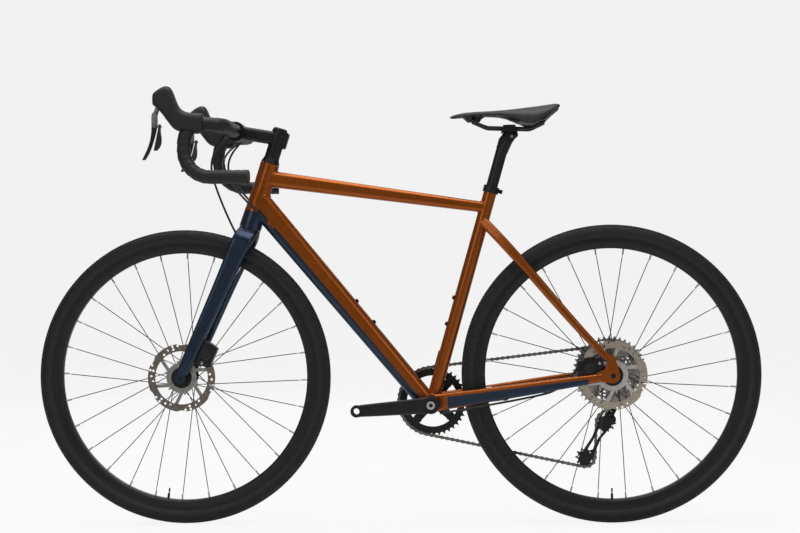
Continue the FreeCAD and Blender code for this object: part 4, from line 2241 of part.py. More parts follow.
doc.recompute()
for thing in doc.Objects:
    if "Invalid" in thing.State or "Error" in thing.State:
        raise RuntimeError("%s did not build" % thing.Label)
for thing in nodes:
    if thing.Shape.isNull() or not thing.Shape.isValid():
        raise RuntimeError("%s has no sound shape" % thing.Label)
    if not thing.Shape.Solids:
        raise RuntimeError("%s has no solid" % thing.Label)
os.makedirs("parts", exist_ok=True)
for thing in nodes:
    thing.Shape.exportStep("parts/%s.step" % thing.Label)
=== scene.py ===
import math
import bmesh
import bpy
from mathutils import Matrix, Vector


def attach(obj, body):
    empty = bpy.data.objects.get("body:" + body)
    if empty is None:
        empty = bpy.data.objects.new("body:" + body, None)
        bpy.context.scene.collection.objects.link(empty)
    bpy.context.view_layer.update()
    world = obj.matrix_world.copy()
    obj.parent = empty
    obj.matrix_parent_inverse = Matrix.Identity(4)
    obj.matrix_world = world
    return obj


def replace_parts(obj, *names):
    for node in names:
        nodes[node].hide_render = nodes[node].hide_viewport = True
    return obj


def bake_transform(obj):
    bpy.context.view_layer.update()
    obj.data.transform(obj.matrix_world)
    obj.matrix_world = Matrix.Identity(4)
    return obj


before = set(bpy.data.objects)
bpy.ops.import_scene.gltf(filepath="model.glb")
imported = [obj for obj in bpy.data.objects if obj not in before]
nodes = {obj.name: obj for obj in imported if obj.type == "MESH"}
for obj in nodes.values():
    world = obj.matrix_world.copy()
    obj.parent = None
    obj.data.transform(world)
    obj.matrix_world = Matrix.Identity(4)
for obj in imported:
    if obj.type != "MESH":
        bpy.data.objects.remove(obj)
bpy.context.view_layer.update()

scene = bpy.context.scene
MM = 0.001
TURN = 2 * math.pi
SHARP_CAD = math.radians(32)
SHARP_NEW = math.radians(38)
FRONT_HUB = (0.503, 0.0, 0.349)
REAR_HUB = (-0.503, 0.0, 0.349)


# Material blocks

NOISE_SPAN = (0.3, 0.7)
FLAKE_SPAN = (0.1, 0.95)
FLAKE_SCALE = 2600
COAT_ROUGH = 0.08
PAINT_ROUGH, PAINT_METAL, PAINT_COAT = (0.27, 0.35), 0.8, 0.28


def shader(name):
    made = bpy.data.materials.new(name)
    made.use_nodes = True
    tree = made.node_tree
    return made, tree, tree.nodes["Principled BSDF"]


def link(tree, start, end):
    tree.links.new(start, end)


def fill(node, values):
    for label, value in values.items():
        node.inputs[label].default_value = value


def place(tree, stretch=(1, 1, 1)):
    coord = tree.nodes.new("ShaderNodeTexCoord")
    mapping = tree.nodes.new("ShaderNodeMapping")
    mapping.inputs["Scale"].default_value = stretch
    link(tree, coord.outputs["Object"], mapping.inputs["Vector"])
    return mapping.outputs["Vector"]


def noise(tree, where, scale, detail=3.0):
    made = tree.nodes.new("ShaderNodeTexNoise")
    fill(made, {"Scale": scale, "Detail": detail})
    link(tree, where, made.inputs["Vector"])
    return made.outputs["Fac"]


def tones(tree, factor, low, high, span=NOISE_SPAN):
    """A colour that goes from low to high while the factor goes over the span."""
    ramp = tree.nodes.new("ShaderNodeValToRGB")
    for stop, spot, color in zip(ramp.color_ramp.elements, span, (low, high)):
        stop.position = spot
        stop.color = (*color, 1)
    link(tree, factor, ramp.inputs["Fac"])
    return ramp.outputs["Color"]


def remap(tree, value, span, low=0.0, high=1.0):
    """A number that goes from low to high while the value goes over the span."""
    made = tree.nodes.new("ShaderNodeMapRange")
    fill(made, {"From Min": span[0], "From Max": span[1], "To Min": low, "To Max": high})
    link(tree, value, made.inputs["Value"])
    return made.outputs["Result"]


def sums(tree, kind, first, second):
    made = tree.nodes.new("ShaderNodeMath")
    made.operation = kind
    for index, value in enumerate((first, second)):
        if isinstance(value, (int, float)):
            made.inputs[index].default_value = value
        else:
            link(tree, value, made.inputs[index])
    return made.outputs["Value"]


def vectors(tree, kind, first, second=None):
    made = tree.nodes.new("ShaderNodeVectorMath")
    made.operation = kind
    link(tree, first, made.inputs[0])
    if second is not None:
        made.inputs[1].default_value = second
    return made.outputs["Value" if kind in ("DOT_PRODUCT", "LENGTH") else "Vector"]


def relief(tree, bsdf, height, strength, depth):
    made = tree.nodes.new("ShaderNodeBump")
    fill(made, {"Strength": strength, "Distance": depth})
    link(tree, height, made.inputs["Height"])
    link(tree, made.outputs["Normal"], bsdf.inputs["Normal"])


def mixed(tree, zone, first, second):
    made = tree.nodes.new("ShaderNodeMix")
    made.data_type = "RGBA"
    link(tree, zone, made.inputs["Factor"])
    link(tree, first, made.inputs[6])
    link(tree, second, made.inputs[7])
    return made.outputs[2]


def from_spot(tree, spot):
    coord = tree.nodes.new("ShaderNodeTexCoord")
    return vectors(tree, "SUBTRACT", coord.outputs["Object"], spot)


def half_space(tree, point, normal, soft=0.0006):
    """One on the side of a plane that its normal points to, zero on the other."""
    far = vectors(tree, "DOT_PRODUCT", from_spot(tree, point), normal)
    return remap(tree, far, (-soft, soft))


def barrel(tree, centre, radius, soft=0.0004):
    """One inside a round bar of this radius that lies along Y, zero outside."""
    flat = vectors(tree, "MULTIPLY", from_spot(tree, centre), (1, 0, 1))
    return remap(tree, vectors(tree, "LENGTH", flat), (radius + soft, radius - soft))


def zone_of(tree, zones):
    """One where all the zones hold. Each is a barrel or one side of a plane."""
    whole = None
    for kind, *facts in zones:
        part = barrel(tree, *facts) if kind == "barrel" else half_space(tree, *facts)
        whole = part if whole is None else sums(tree, "MULTIPLY", whole, part)
    return whole


def surface(name, low, high, scale, rough, metal=0.0, grain=900, strength=0.15, depth=0.0004,
            coat=0.0, specular=0.5, sheen=0.0):
    """A material with broad drifts of tone and a fine grain in its gloss and relief."""
    made, tree, bsdf = shader(name)
    where = place(tree)
    broad = noise(tree, where, scale)
    fine = noise(tree, where, grain, 4.0)
    link(tree, tones(tree, broad, low, high), bsdf.inputs["Base Color"])
    link(tree, remap(tree, fine, NOISE_SPAN, *rough), bsdf.inputs["Roughness"])
    relief(tree, bsdf, fine, strength, depth)
    fill(bsdf, {"Metallic": metal, "Coat Weight": coat, "Coat Roughness": COAT_ROUGH,
                "Specular IOR Level": specular, "Sheen Weight": sheen})
    return made


def zoned_tones(name, first, second, zones):
    """A material whose base colour and metal turn from the first to the second inside the zones."""
    made = first.copy()
    made.name = name
    tree = made.node_tree
    bsdf = tree.nodes["Principled BSDF"]
    low, high, metal = second
    zone = zone_of(tree, zones)
    old = bsdf.inputs["Base Color"].links[0].from_socket
    fresh = tones(tree, noise(tree, place(tree), 120), low, high)
    link(tree, mixed(tree, zone, old, fresh), bsdf.inputs["Base Color"])
    metals = remap(tree, zone, (0, 1), bsdf.inputs["Metallic"].default_value, metal)
    link(tree, metals, bsdf.inputs["Metallic"])
    return made


def wheel_pair(kind, first, second, radius, soft=0.0004):
    """The front and rear forms of a material whose tone changes at a radius from the hub: a real finish
    for the spokes, a painted sheen band for the tyres and rims.
    """
    return [zoned_tones(end + "_" + kind, first, second, [("barrel", hub, radius, soft)])
            for end, hub in (("front", FRONT_HUB), ("rear", REAR_HUB))]


def paint(name, pair, other=None, zones=()):
    """Flaked paint under a clear coat, with a second colour inside the zones."""
    made, tree, bsdf = shader(name)
    where = place(tree)
    cells = tree.nodes.new("ShaderNodeTexVoronoi")
    cells.inputs["Scale"].default_value = FLAKE_SCALE
    link(tree, where, cells.inputs["Vector"])
    grey = tree.nodes.new("ShaderNodeRGBToBW")
    link(tree, cells.outputs["Color"], grey.inputs["Color"])
    flake = grey.outputs["Val"]
    color = tones(tree, flake, *pair, FLAKE_SPAN)
    if other:
        color = mixed(tree, zone_of(tree, zones), color, tones(tree, flake, *other, FLAKE_SPAN))
    link(tree, color, bsdf.inputs["Base Color"])
    rough = remap(tree, noise(tree, where, 60), NOISE_SPAN, *PAINT_ROUGH)
    link(tree, rough, bsdf.inputs["Roughness"])
    relief(tree, bsdf, noise(tree, where, 120, 2.0), 0.03, 0.0003)
    fill(bsdf, {"Metallic": PAINT_METAL, "Coat Weight": PAINT_COAT, "Coat Roughness": COAT_ROUGH})
    return made


def unit(x, y, z):
    return tuple(Vector((x, y, z)).normalized())


# Paint, with the blue parts of the frame

ORANGE = ((0.25, 0.052, 0.001), (0.45, 0.108, 0.003))
NAVY = ((0.006, 0.013, 0.025), (0.036, 0.068, 0.118))
DOWN_TOP = Vector((0.309, 0.0, 0.7347))
DOWN_FOOT = Vector((-0.043, 0.0, 0.3145))
STEER = Vector((-0.309017, 0.0, 0.951057))
CROWN = Vector((0.342961, 0.0, 0.699161))
BELT_UP = 0.041
STAY_FRONT, STAY_BACK = -0.122, -0.447
STAY_UPPER, STAY_LOWER = 0.2995, 0.274

along = (DOWN_FOOT - DOWN_TOP).normalized()
under = unit(-along.z, 0, along.x)
belt = CROWN + STEER * BELT_UP
orange_paint = paint("orange_paint", ORANGE)
navy_paint = paint("navy_paint", NAVY)
down_paint = paint("down_tube_paint", ORANGE, NAVY, [("side", DOWN_TOP, under)])
head_paint = paint("head_tube_paint", ORANGE, NAVY, [("side", belt, -STEER)])
stay_paint = paint("chainstay_paint", ORANGE, NAVY, [
    ("side", (STAY_FRONT, 0, 0), (-1, 0, 0)),
    ("side", (STAY_BACK, 0, 0), (1, 0, 0)),
    ("side", (STAY_FRONT, 0, STAY_UPPER), unit(-0.1316, 0, -1)),
    ("side", (STAY_FRONT, 0, STAY_LOWER), unit(0.155, 0, 1)),
])


# Metals, rubbers and plastics

black_alloy = surface("black_alloy", (0.007, 0.007, 0.008), (0.013, 0.013, 0.014), 40, (0.32, 0.44),
                      0.35, grain=2600, strength=0.12, depth=0.0002)
rim_black = surface("rim_black", (0.006, 0.006, 0.007), (0.011, 0.011, 0.012), 30, (0.36, 0.50),
                    0.3, grain=2200, strength=0.10, depth=0.0002)
bright_steel = surface("bright_steel", (0.42, 0.41, 0.39), (0.60, 0.58, 0.55), 120, (0.22, 0.38),
                       0.95, grain=1800, strength=0.10, depth=0.0002)
bearing_steel = surface("bearing_steel", (0.35, 0.35, 0.35), (0.52, 0.52, 0.53), 90, (0.2, 0.34), 0.95)
cog_steel = surface("cog_steel", (0.36, 0.34, 0.31), (0.56, 0.54, 0.50), 110, (0.24, 0.38), 0.95,
                    grain=1500, strength=0.12, depth=0.0002)
chain_steel = surface("chain_steel", (0.13, 0.12, 0.105), (0.27, 0.25, 0.22), 300, (0.28, 0.44), 0.9,
                      grain=1600, strength=0.2, depth=0.0002)
bronze_disc = surface("bronze_disc", (0.16, 0.14, 0.12), (0.27, 0.235, 0.20), 160, (0.28, 0.42), 0.9,
                      grain=1400, strength=0.15, depth=0.0002)
champagne_disc = surface("champagne_disc", (0.42, 0.36, 0.28), (0.60, 0.53, 0.43), 160, (0.26, 0.40),
                         0.9, grain=1400, strength=0.15, depth=0.0002)
tyre_rubber = surface("tyre_rubber", (0.0055, 0.0055, 0.0055), (0.0105, 0.010, 0.010), 55,
                      (0.56, 0.74), grain=1500, strength=0.35, depth=0.0004, specular=0.4)
# Painted highlight: the tread knobs are much lighter than the tyre, standing in for glints on the knobs
tread_painted_highlight = surface("tread_painted_highlight", (0.018, 0.018, 0.019), (0.075, 0.075, 0.080), 300, (0.42, 0.64),
                     grain=1500, strength=0.35, depth=0.0004, specular=0.45)
tape_skin = surface("tape_skin", (0.006, 0.006, 0.006), (0.013, 0.013, 0.0135), 140, (0.40, 0.58),
                    grain=1100, strength=0.45, depth=0.0005, specular=0.4, sheen=0.05)
hood_rubber = surface("hood_rubber", (0.007, 0.007, 0.0075), (0.013, 0.013, 0.0135), 90, (0.48, 0.62),
                      grain=1800, strength=0.35, depth=0.0004, specular=0.45)
black_plastic = surface("black_plastic", (0.006, 0.006, 0.0065), (0.012, 0.012, 0.0125), 70,
                        (0.34, 0.48), grain=1500, strength=0.15, depth=0.0003)
saddle_skin = surface("saddle_skin", (0.006, 0.006, 0.006), (0.013, 0.0125, 0.0125), 60, (0.44, 0.58),
                      grain=1300, strength=0.30, depth=0.0004, sheen=0.05)
lever_grey = surface("lever_grey", (0.16, 0.16, 0.165), (0.24, 0.24, 0.245), 70, (0.30, 0.42), 0.75,
                     grain=2200, strength=0.10, depth=0.0002)
hose_skin = surface("hose_skin", (0.007, 0.007, 0.007), (0.013, 0.013, 0.013), 200, (0.40, 0.55),
                    grain=1600, strength=0.20, depth=0.0003)

# Second finishes and painted sheen bands: low tone, high tone, metal
DARK = ((0.007, 0.007, 0.008), (0.013, 0.013, 0.014), 0.35)
GREY_DISC = ((0.26, 0.25, 0.23), (0.42, 0.40, 0.37), 0.9)
PALE_DISC = ((0.52, 0.50, 0.46), (0.74, 0.72, 0.68), 0.9)
SPOKE = ((0.030, 0.030, 0.032), (0.065, 0.065, 0.068), 0.7)
# Painted sheen: lighter tones for the tyre's lower sidewall near the rim, standing in for a highlight
SIDEWALL_SHEEN = ((0.012, 0.012, 0.0125), (0.021, 0.021, 0.022), 0.0)
# Painted sheen: lighter tones for the rim's inner band towards the hub, standing in for a highlight
RIM_BAND_SHEEN = ((0.012, 0.012, 0.013), (0.022, 0.022, 0.023), 0.3)
BARE_CAP = ((0.42, 0.42, 0.42), (0.60, 0.60, 0.60), 0.95)
DISC_INNER, DISC_CENTRE = 0.0600, 0.0245
CRANK_AXIS = (-0.084168, 0, 0.283)
CAP_RADIUS, CAP_FACE = 0.0096, 0.0683

front_disc = zoned_tones("front_disc_ring", bronze_disc, GREY_DISC, [("barrel", FRONT_HUB, DISC_INNER)])
front_disc = zoned_tones("front_disc", front_disc, DARK, [("barrel", FRONT_HUB, DISC_CENTRE)])
rear_disc = zoned_tones("rear_disc_ring", champagne_disc, PALE_DISC, [("barrel", REAR_HUB, DISC_INNER)])
rear_disc = zoned_tones("rear_disc", rear_disc, DARK, [("barrel", REAR_HUB, DISC_CENTRE)])
# The tyres take the lighter painted sheen inside 327.5 mm from the hub
front_rubber, rear_rubber = wheel_pair("rubber", tyre_rubber, SIDEWALL_SHEEN, 0.3275, 0.003)
# The rims take the lighter painted sheen inside 300 mm from the hub
front_hoop, rear_hoop = wheel_pair("hoop", rim_black, RIM_BAND_SHEEN, 0.3000, 0.004)
front_spoke, rear_spoke = wheel_pair("spoke", bright_steel, SPOKE, 0.2725)
left_crank = zoned_tones("left_crank", black_alloy, BARE_CAP, [
    ("barrel", CRANK_AXIS, CAP_RADIUS), ("side", (0, CAP_FACE, 0), (0, 1, 0))])
lever_finish = zoned_tones("lever_finish", lever_grey, DARK, [
    ("side", (0.52, 0, 0.9215), unit(0.25, 0, -1))])
cover_finish = zoned_tones("cover_finish", black_plastic, (*ORANGE, PAINT_METAL), [
    ("side", (0.1, 0, 0), (1, 0, 0))])

# What each CAD piece wears. All the others wear black alloy.
WEAR = {
    "head_tube": head_paint, "down_tube": down_paint, "top_tube": orange_paint,
    "seat_tube": orange_paint, "bottom_bracket_shell": orange_paint, "chainstays": stay_paint,
    "seatstays": orange_paint, "dropouts": orange_paint, "fork": navy_paint,
    "headset_bearings": bearing_steel, "frame_covers": cover_finish, "chain": chain_steel,
    "cassette": cog_steel, "front_rotor": front_disc, "rear_rotor": rear_disc,
    "crank_arm_left": left_crank, "front_spokes": front_spoke, "rear_spokes": rear_spoke,
    "front_rim": front_hoop, "rear_rim": rear_hoop, "front_tyre": front_rubber,
    "rear_tyre": rear_rubber, "saddle_shell": black_plastic, "saddle_cover": saddle_skin,
    "bar_tape": tape_skin, "lever_hoods": hood_rubber, "brake_lever_left": lever_finish,
    "brake_lever_right": lever_finish, "shift_paddle_left": black_plastic,
    "shift_paddle_right": black_plastic, "guide_pulley": black_plastic,
    "tension_pulley": black_plastic, "shift_cable": hose_skin, "rear_brake_hose": hose_skin,
    "front_brake_hose": hose_skin,
}


def wear(item, made):
    item.data.materials.clear()
    item.data.materials.append(made)


def smoothed(data, sharp):
    data.shade_smooth()
    data.set_sharp_from_angle(angle=sharp)


for name, item in nodes.items():
    wear(item, WEAR.get(name, black_alloy))
    if item.type == "MESH":
        smoothed(item.data, SHARP_CAD)


# Building blocks for new pieces

def linked(name, data):
    item = bpy.data.objects.new(name, data)
    scene.collection.objects.link(item)
    return item


def to_mesh(name, verts, faces, made, body):
    data = bpy.data.meshes.new(name)
    data.from_pydata(verts, [], faces)
    data.validate()
    item = linked(name, data)
    data.materials.append(made)
    smoothed(data, SHARP_NEW)
    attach(item, body)
    return item


def baked(item):
    """The mesh that an object has after its modifiers or curve settings."""
    depsgraph = bpy.context.evaluated_depsgraph_get()
    return bpy.data.meshes.new_from_object(item.evaluated_get(depsgraph))


def tube_curve(name, kind, points, radius, resolution, made):
    """A round curve through the points, with its only spline."""
    data = bpy.data.curves.new(name, "CURVE")
    data.dimensions = "3D"
    data.bevel_depth = radius
    data.bevel_resolution = resolution
    spline = data.splines.new(kind)
    spline.points.add(len(points) - 1)
    for spot, point in zip(spline.points, points):
        spot.co = (*point, 1)
    data.materials.append(made)
    return linked(name, data), spline


def copy_of(node, name, made):
    item = linked(name, nodes[node].data.copy())
    item.matrix_world = nodes[node].matrix_world.copy()
    wear(item, made)
    return item


def loop_faces(rings, around, closed):
    """Four-sided faces between rings of points, each ring closed on itself."""
    faces = []
    for row in range(rings if closed else rings - 1):
        low = row * around
        high = ((row + 1) % rings) * around
        for column in range(around):
            after = (column + 1) % around
            faces.append((low + column, low + after, high + after, high + column))
    return faces


def end_faces(rings, around):
    last = (rings - 1) * around
    return [tuple(range(around))[::-1], tuple(range(last, last + around))]


# Weld beads round the ends of the frame tubes

WELDS = [
    ("weld_top_head", "top_tube", (0.30, 0, 0.81), orange_paint, 0.05, 0.0024),
    ("weld_top_seat", "top_tube", (-0.21, 0, 0.74), orange_paint, 0.06, 0.0022),
    ("weld_down_head", "down_tube", (0.31, 0, 0.76), down_paint, 0.07, 0.0026),
    ("weld_seat_foot", "seat_tube", (-0.088, 0, 0.30), orange_paint, 0.05, 0.0024),
]
WELD_SHARP = math.radians(40)
WELD_JOIN = 0.00002
WELD_POINTS = 8


def end_loops(node):
    """The closed runs of sharp edges on a tube, as lists of points, longest first."""
    work = bmesh.new()
    work.from_mesh(nodes[node].data)
    bmesh.ops.remove_doubles(work, verts=work.verts, dist=WELD_JOIN)
    near = {}
    for edge in work.edges:
        if len(edge.link_faces) == 2 and edge.calc_face_angle(0) > WELD_SHARP:
            first, second = edge.verts
            near.setdefault(first, []).append(second)
            near.setdefault(second, []).append(first)
    runs = []
    left = set(near)
    for start in near:
        if start not in left:
            continue
        left.discard(start)
        run = [start]
        while True:
            ahead = [vert for vert in near[run[-1]] if vert in left]
            if not ahead:
                break
            left.discard(ahead[0])
            run.append(ahead[0])
        if run[0] in near[run[-1]] and len(run) > WELD_POINTS:
            runs.append([vert.co.copy() for vert in run])
    work.free()
    runs.sort(key=lambda run: -sum((one - two).length for one, two in zip(run, run[1:])))
    return runs


def weld(name, node, spot, made, reach, radius):
    """A bead along the longest sharp run of the tube whose middle is within reach of the spot."""
    for run in end_loops(node):
        middle = sum(run, Vector()) / len(run)
        if (middle - Vector(spot)).length <= reach:
            item, spline = tube_curve(name, "POLY", run, radius, 3, made)
            spline.use_cyclic_u = True
            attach(item, "frame")
            return


for facts in WELDS:
    weld(*facts)


# Tyres with a fine file tread, in millimetres and degrees

TYRE_MIDDLE, TYRE_TALL, TYRE_WIDE = 329.6, 17.5, 19.3
TYRE_RINGS = 200
SKIN_HALF, SKIN_STEPS = 147, 32
LINING_HALF, LINING_STEPS, LINING_DEEP = 141, 10, 2.2
TREAD_ROWS = ((0, 0), (13, 0.5), (-13, 0.5), (26, 0), (-26, 0), (40, 0.5), (-40, 0.5),
              (52, 0), (-52, 0))
TREAD_COUNT = 260
TREAD_HIGH, TREAD_SUNK = 1.4, 0.6
KNOB_LONG = 0.45 * TURN / TREAD_COUNT
KNOB_WIDE = math.radians(4.6)
KNOB_TOP = 0.78
KNOB_CORNERS = ((-1, 0), (0, -1), (1, 0), (0, 1))


def tyre_point(centre, turn, angle, lift):
    radius = TYRE_MIDDLE + (TYRE_TALL + lift) * math.cos(angle)
    out = (TYRE_WIDE + lift) * math.sin(angle)
    return (centre[0] + radius * MM * math.sin(turn), out * MM,
            centre[2] + radius * MM * math.cos(turn))


def tyre(name, node, body, centre, made):
    verts = []
    skin = [math.radians(SKIN_HALF * (2 * step / SKIN_STEPS - 1)) for step in range(SKIN_STEPS + 1)]
    lining = [math.radians(LINING_HALF * (1 - 2 * step / LINING_STEPS))
              for step in range(LINING_STEPS + 1)]
    for ring in range(TYRE_RINGS):
        turn = TURN * ring / TYRE_RINGS
        verts += [tyre_point(centre, turn, angle, 0) for angle in skin]
        verts += [tyre_point(centre, turn, angle, -LINING_DEEP) for angle in lining]
    faces = loop_faces(TYRE_RINGS, len(skin) + len(lining), True)
    plain = len(faces)
    for row, shift in TREAD_ROWS:
        for count in range(TREAD_COUNT):
            turn = TURN * (count + shift) / TREAD_COUNT
            start = len(verts)
            for lift, share in ((-TREAD_SUNK, 1.0), (TREAD_HIGH, KNOB_TOP)):
                for step, lean in KNOB_CORNERS:
                    angle = math.radians(row) + KNOB_WIDE * lean * share
                    verts.append(tyre_point(centre, turn + KNOB_LONG * step * share, angle, lift))
            faces.append((start + 4, start + 5, start + 6, start + 7))
            for edge in range(4):
                after = (edge + 1) % 4
                faces.append((start + edge, start + after, start + 4 + after, start + 4 + edge))
    item = to_mesh(name, verts, faces, made, body)
    # The knob faces take the lighter tread tone, a painted highlight
    item.data.materials.append(tread_painted_highlight)
    for face in item.data.polygons[plain:]:
        face.material_index = 1
    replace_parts(item, node)


tyre("front_tyre_tread", "front_tyre", "front_wheel", FRONT_HUB, front_rubber)
tyre("rear_tyre_tread", "rear_tyre", "rear_wheel", REAR_HUB, rear_rubber)


# Handlebar tape wound along the bar, in millimetres

BAR_FORE, BAR_UP = 371.63, 928.17
BAR_CORNERS = [(0, 74, 0), (0, 184, 0), (83, 207, 4), (84, 223, -119), (-62, 238, -121)]
BAR_BENDS = (34, 44, 64)
BEND_STEP, TAPE_STEP = 2.0, 1.6
TAPE_PITCH = 17.0
TAPE_AROUND = 32
TAPE_CORE, TAPE_THICK = 14.3, 1.6
TAPE_LOW, TAPE_EDGE = 0.35, 9


def rounded_path(corners, bends, step):
    """Points along straight runs whose inner corners are rounded to the bends."""
    points = [Vector(corner) for corner in corners]
    made = [points[0]]
    for index, bend in enumerate(bends):
        before, corner, after = points[index:index + 3]
        back = (before - corner).normalized()
        ahead = (after - corner).normalized()
        half = back.angle(ahead) / 2
        reach = bend / math.tan(half)
        centre = corner + (back + ahead).normalized() * (bend / math.sin(half))
        start = corner + back * reach
        sweep = math.pi - 2 * half
        axis = (start - centre).cross(corner - centre).normalized()
        count = max(3, int(bend * sweep / step))
        for turn in range(count + 1):
            made.append(centre + Matrix.Rotation(sweep * turn / count, 3, axis) @ (start - centre))
    made.append(points[-1])
    return made


def even_path(points, step):
    """Points at even steps along a path, each with its distance from the start."""
    lengths = [0]
    for first, second in zip(points, points[1:]):
        lengths.append(lengths[-1] + (second - first).length)
    count = int(lengths[-1] / step)
    made = []
    piece = 0
    for index in range(count + 1):
        want = lengths[-1] * index / count
        while piece < len(points) - 2 and lengths[piece + 1] < want:
            piece += 1
        share = (want - lengths[piece]) / max(lengths[piece + 1] - lengths[piece], 1e-9)
        made.append((want, points[piece].lerp(points[piece + 1], share)))
    return made


def tape(name, side):
    corners = [(BAR_FORE + fore, side * out, BAR_UP + up) for fore, out, up in BAR_CORNERS]
    spots = even_path(rounded_path(corners, BAR_BENDS, BEND_STEP), TAPE_STEP)
    verts = []
    up = Vector((0, 0, 1))
    for index, (far, spot) in enumerate(spots):
        ahead = spots[min(index + 1, len(spots) - 1)][1] - spots[max(index - 1, 0)][1]
        ahead.normalize()
        up = (up - ahead * up.dot(ahead)).normalized()
        right = ahead.cross(up)
        for turn in range(TAPE_AROUND):
            angle = TURN * turn / TAPE_AROUND
            wind = (far / TAPE_PITCH + side * turn / TAPE_AROUND) % 1.0
            rise = min(1.0, (1.0 - wind) * TAPE_EDGE) * (TAPE_LOW + (1.0 - TAPE_LOW) * wind)
            radius = TAPE_CORE + TAPE_THICK * rise
            around = up * math.cos(angle) + right * math.sin(angle)
            verts.append(tuple((spot + around * radius) * MM))
    rings = len(spots)
    faces = loop_faces(rings, TAPE_AROUND, False) + end_faces(rings, TAPE_AROUND)
    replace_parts(to_mesh(name, verts, faces, tape_skin, "steering"), "bar_tape")


tape("bar_tape_left", 1)
tape("bar_tape_right", -1)


# Rubber hoods, rounded from the solids

HOOD_VOXEL, HOOD_ROUNDS, HOOD_SWELL = 0.0014, 30, 0.0018


def softened_hoods():
    item = copy_of("lever_hoods", "hood_rubber_skin", hood_rubber)
    remesh = item.modifiers.new("remesh", "REMESH")
    remesh.mode = "VOXEL"
    remesh.voxel_size = HOOD_VOXEL
    smooth = item.modifiers.new("smooth", "SMOOTH")
    smooth.factor = 0.5
    smooth.iterations = HOOD_ROUNDS
    data = baked(item)
    item.modifiers.clear()
    item.data = data
    wear(item, hood_rubber)
    data.shade_smooth()
    swell = item.modifiers.new("swell", "DISPLACE")
    swell.strength = HOOD_SWELL
    swell.mid_level = 0
    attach(item, "steering")
    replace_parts(item, "lever_hoods")


softened_hoods()


# Saddle, in millimetres: length, half width, height of the crown, height of the edge

SADDLE = [
    (-134, 8, 955.5, 951.5), (-141, 12, 958.6, 951.8), (-152, 16.5, 962, 952.5),
    (-171, 20.5, 965.5, 954), (-200, 23, 967, 955), (-221, 25.5, 967.6, 955.3),
    (-248, 31, 968.5, 954), (-267, 38, 969.8, 949.5), (-286, 47, 971.5, 942),
    (-303, 55, 973.3, 932.5), (-317, 61.5, 975, 926.5), (-330, 66, 976, 926),
    (-345, 68.5, 977.5, 933), (-360, 67.5, 979.3, 945), (-372, 65, 980.7, 956),
    (-381, 60.5, 981.3, 963.5), (-388, 54, 980, 969), (-391, 46, 977, 971.5),
]
PAD_OVER, PAD_BELOW = 21, 11
PAD_DOME = 0.62
PAD_THICK = 9.0
DIP_DEEP, DIP_WIDE = 2.4, 8.5
DIP_FRONT, DIP_FRONT_FADE = -165, 40
DIP_BACK, DIP_BACK_FADE = -372, 30
BASE_END, BASE_BACK = -386.0, -335
BASE_INSET = 3.0
RAIL_SOCKET = (-206, -172)


def saddle_pad():
    """Skin of the saddle: domed on top, falling to the wing edges, with a shallow dip along the middle."""
    verts = []
    for x, half, top, edge in SADDLE:
        tall = top - edge
        thick = min(PAD_THICK, tall * 0.6)
        fade = min((DIP_FRONT - x) / DIP_FRONT_FADE, (x - DIP_BACK) / DIP_BACK_FADE)
        dip = DIP_DEEP * max(0.0, min(1.0, fade))
        for step in range(PAD_OVER):
            angle = math.pi * (step / (PAD_OVER - 1) - 0.5)
            y = half * math.sin(angle)
            rise = max(0.0, math.cos(angle)) ** PAD_DOME
            z = edge + tall * rise - dip * math.exp(-(y / DIP_WIDE) ** 2)
            verts.append((x * MM, y * MM, z * MM))
        for step in range(PAD_BELOW):
            angle = math.pi * (0.5 - (step + 1) / (PAD_BELOW + 1))
            y = (half - 2.0) * math.sin(angle)
            z = edge + 0.5 + max(0.0, tall - thick) * max(0.0, math.cos(angle)) ** PAD_DOME
            verts.append((x * MM, y * MM, z * MM))
    around = PAD_OVER + PAD_BELOW
    rings = len(SADDLE)
    faces = loop_faces(rings, around, False) + end_faces(rings, around)
    item = to_mesh("saddle_pad", verts, faces, saddle_skin, "seat")
    smooth = item.modifiers.new("round", "SUBSURF")
    smooth.levels = smooth.render_levels = 2
    return item


def saddle_spot(x):
    """Half width and edge height of the pad at this length."""
    for first, second in zip(SADDLE, SADDLE[1:]):
        if x >= second[0]:
            share = min(1.0, max(0.0, (first[0] - x) / (first[0] - second[0])))
            return [first[item] + (second[item] - first[item]) * share for item in (1, 3)]
    return SADDLE[-1][1], SADDLE[-1][3]


def saddle_base():
    """A copy of the shell under the pad, drawn in behind the pad's edge."""
    item = copy_of("saddle_shell", "saddle_base", black_plastic)
    for vert in item.data.vertices:
        x = max(vert.co.x / MM, BASE_END)
        half, edge = saddle_spot(x)
        y = max(-half + BASE_INSET, min(half - BASE_INSET, vert.co.y / MM))
        z = vert.co.z / MM
        if x < BASE_BACK or abs(y) > half * 0.55:
            z = max(z, edge + 1.5)
        elif not RAIL_SOCKET[0] < x < RAIL_SOCKET[1]:
            z = max(z, edge - 0.5)
        vert.co = (x * MM, y * MM, z * MM)
    item.data.shade_smooth()
    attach(item, "seat")
    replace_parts(item, "saddle_shell")


saddle_base()
pad = saddle_pad()
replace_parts(pad, "saddle_cover")


# Forged head of the seatpost

HEAD_OUTLINE = [(-241.5, 878), (-248.5, 902), (-261.5, 917), (-292, 917), (-295, 909), (-275, 893),
                (-268.5, 876)]
HEAD_HALF, HEAD_BEVEL = 13.0, 4.5


def bevelled(item, width, segments, limit=None):
    edge = item.modifiers.new("edge", "BEVEL")
    edge.width = width
    edge.segments = segments
    edge.limit_method = "ANGLE"
    if limit:
        edge.angle_limit = limit


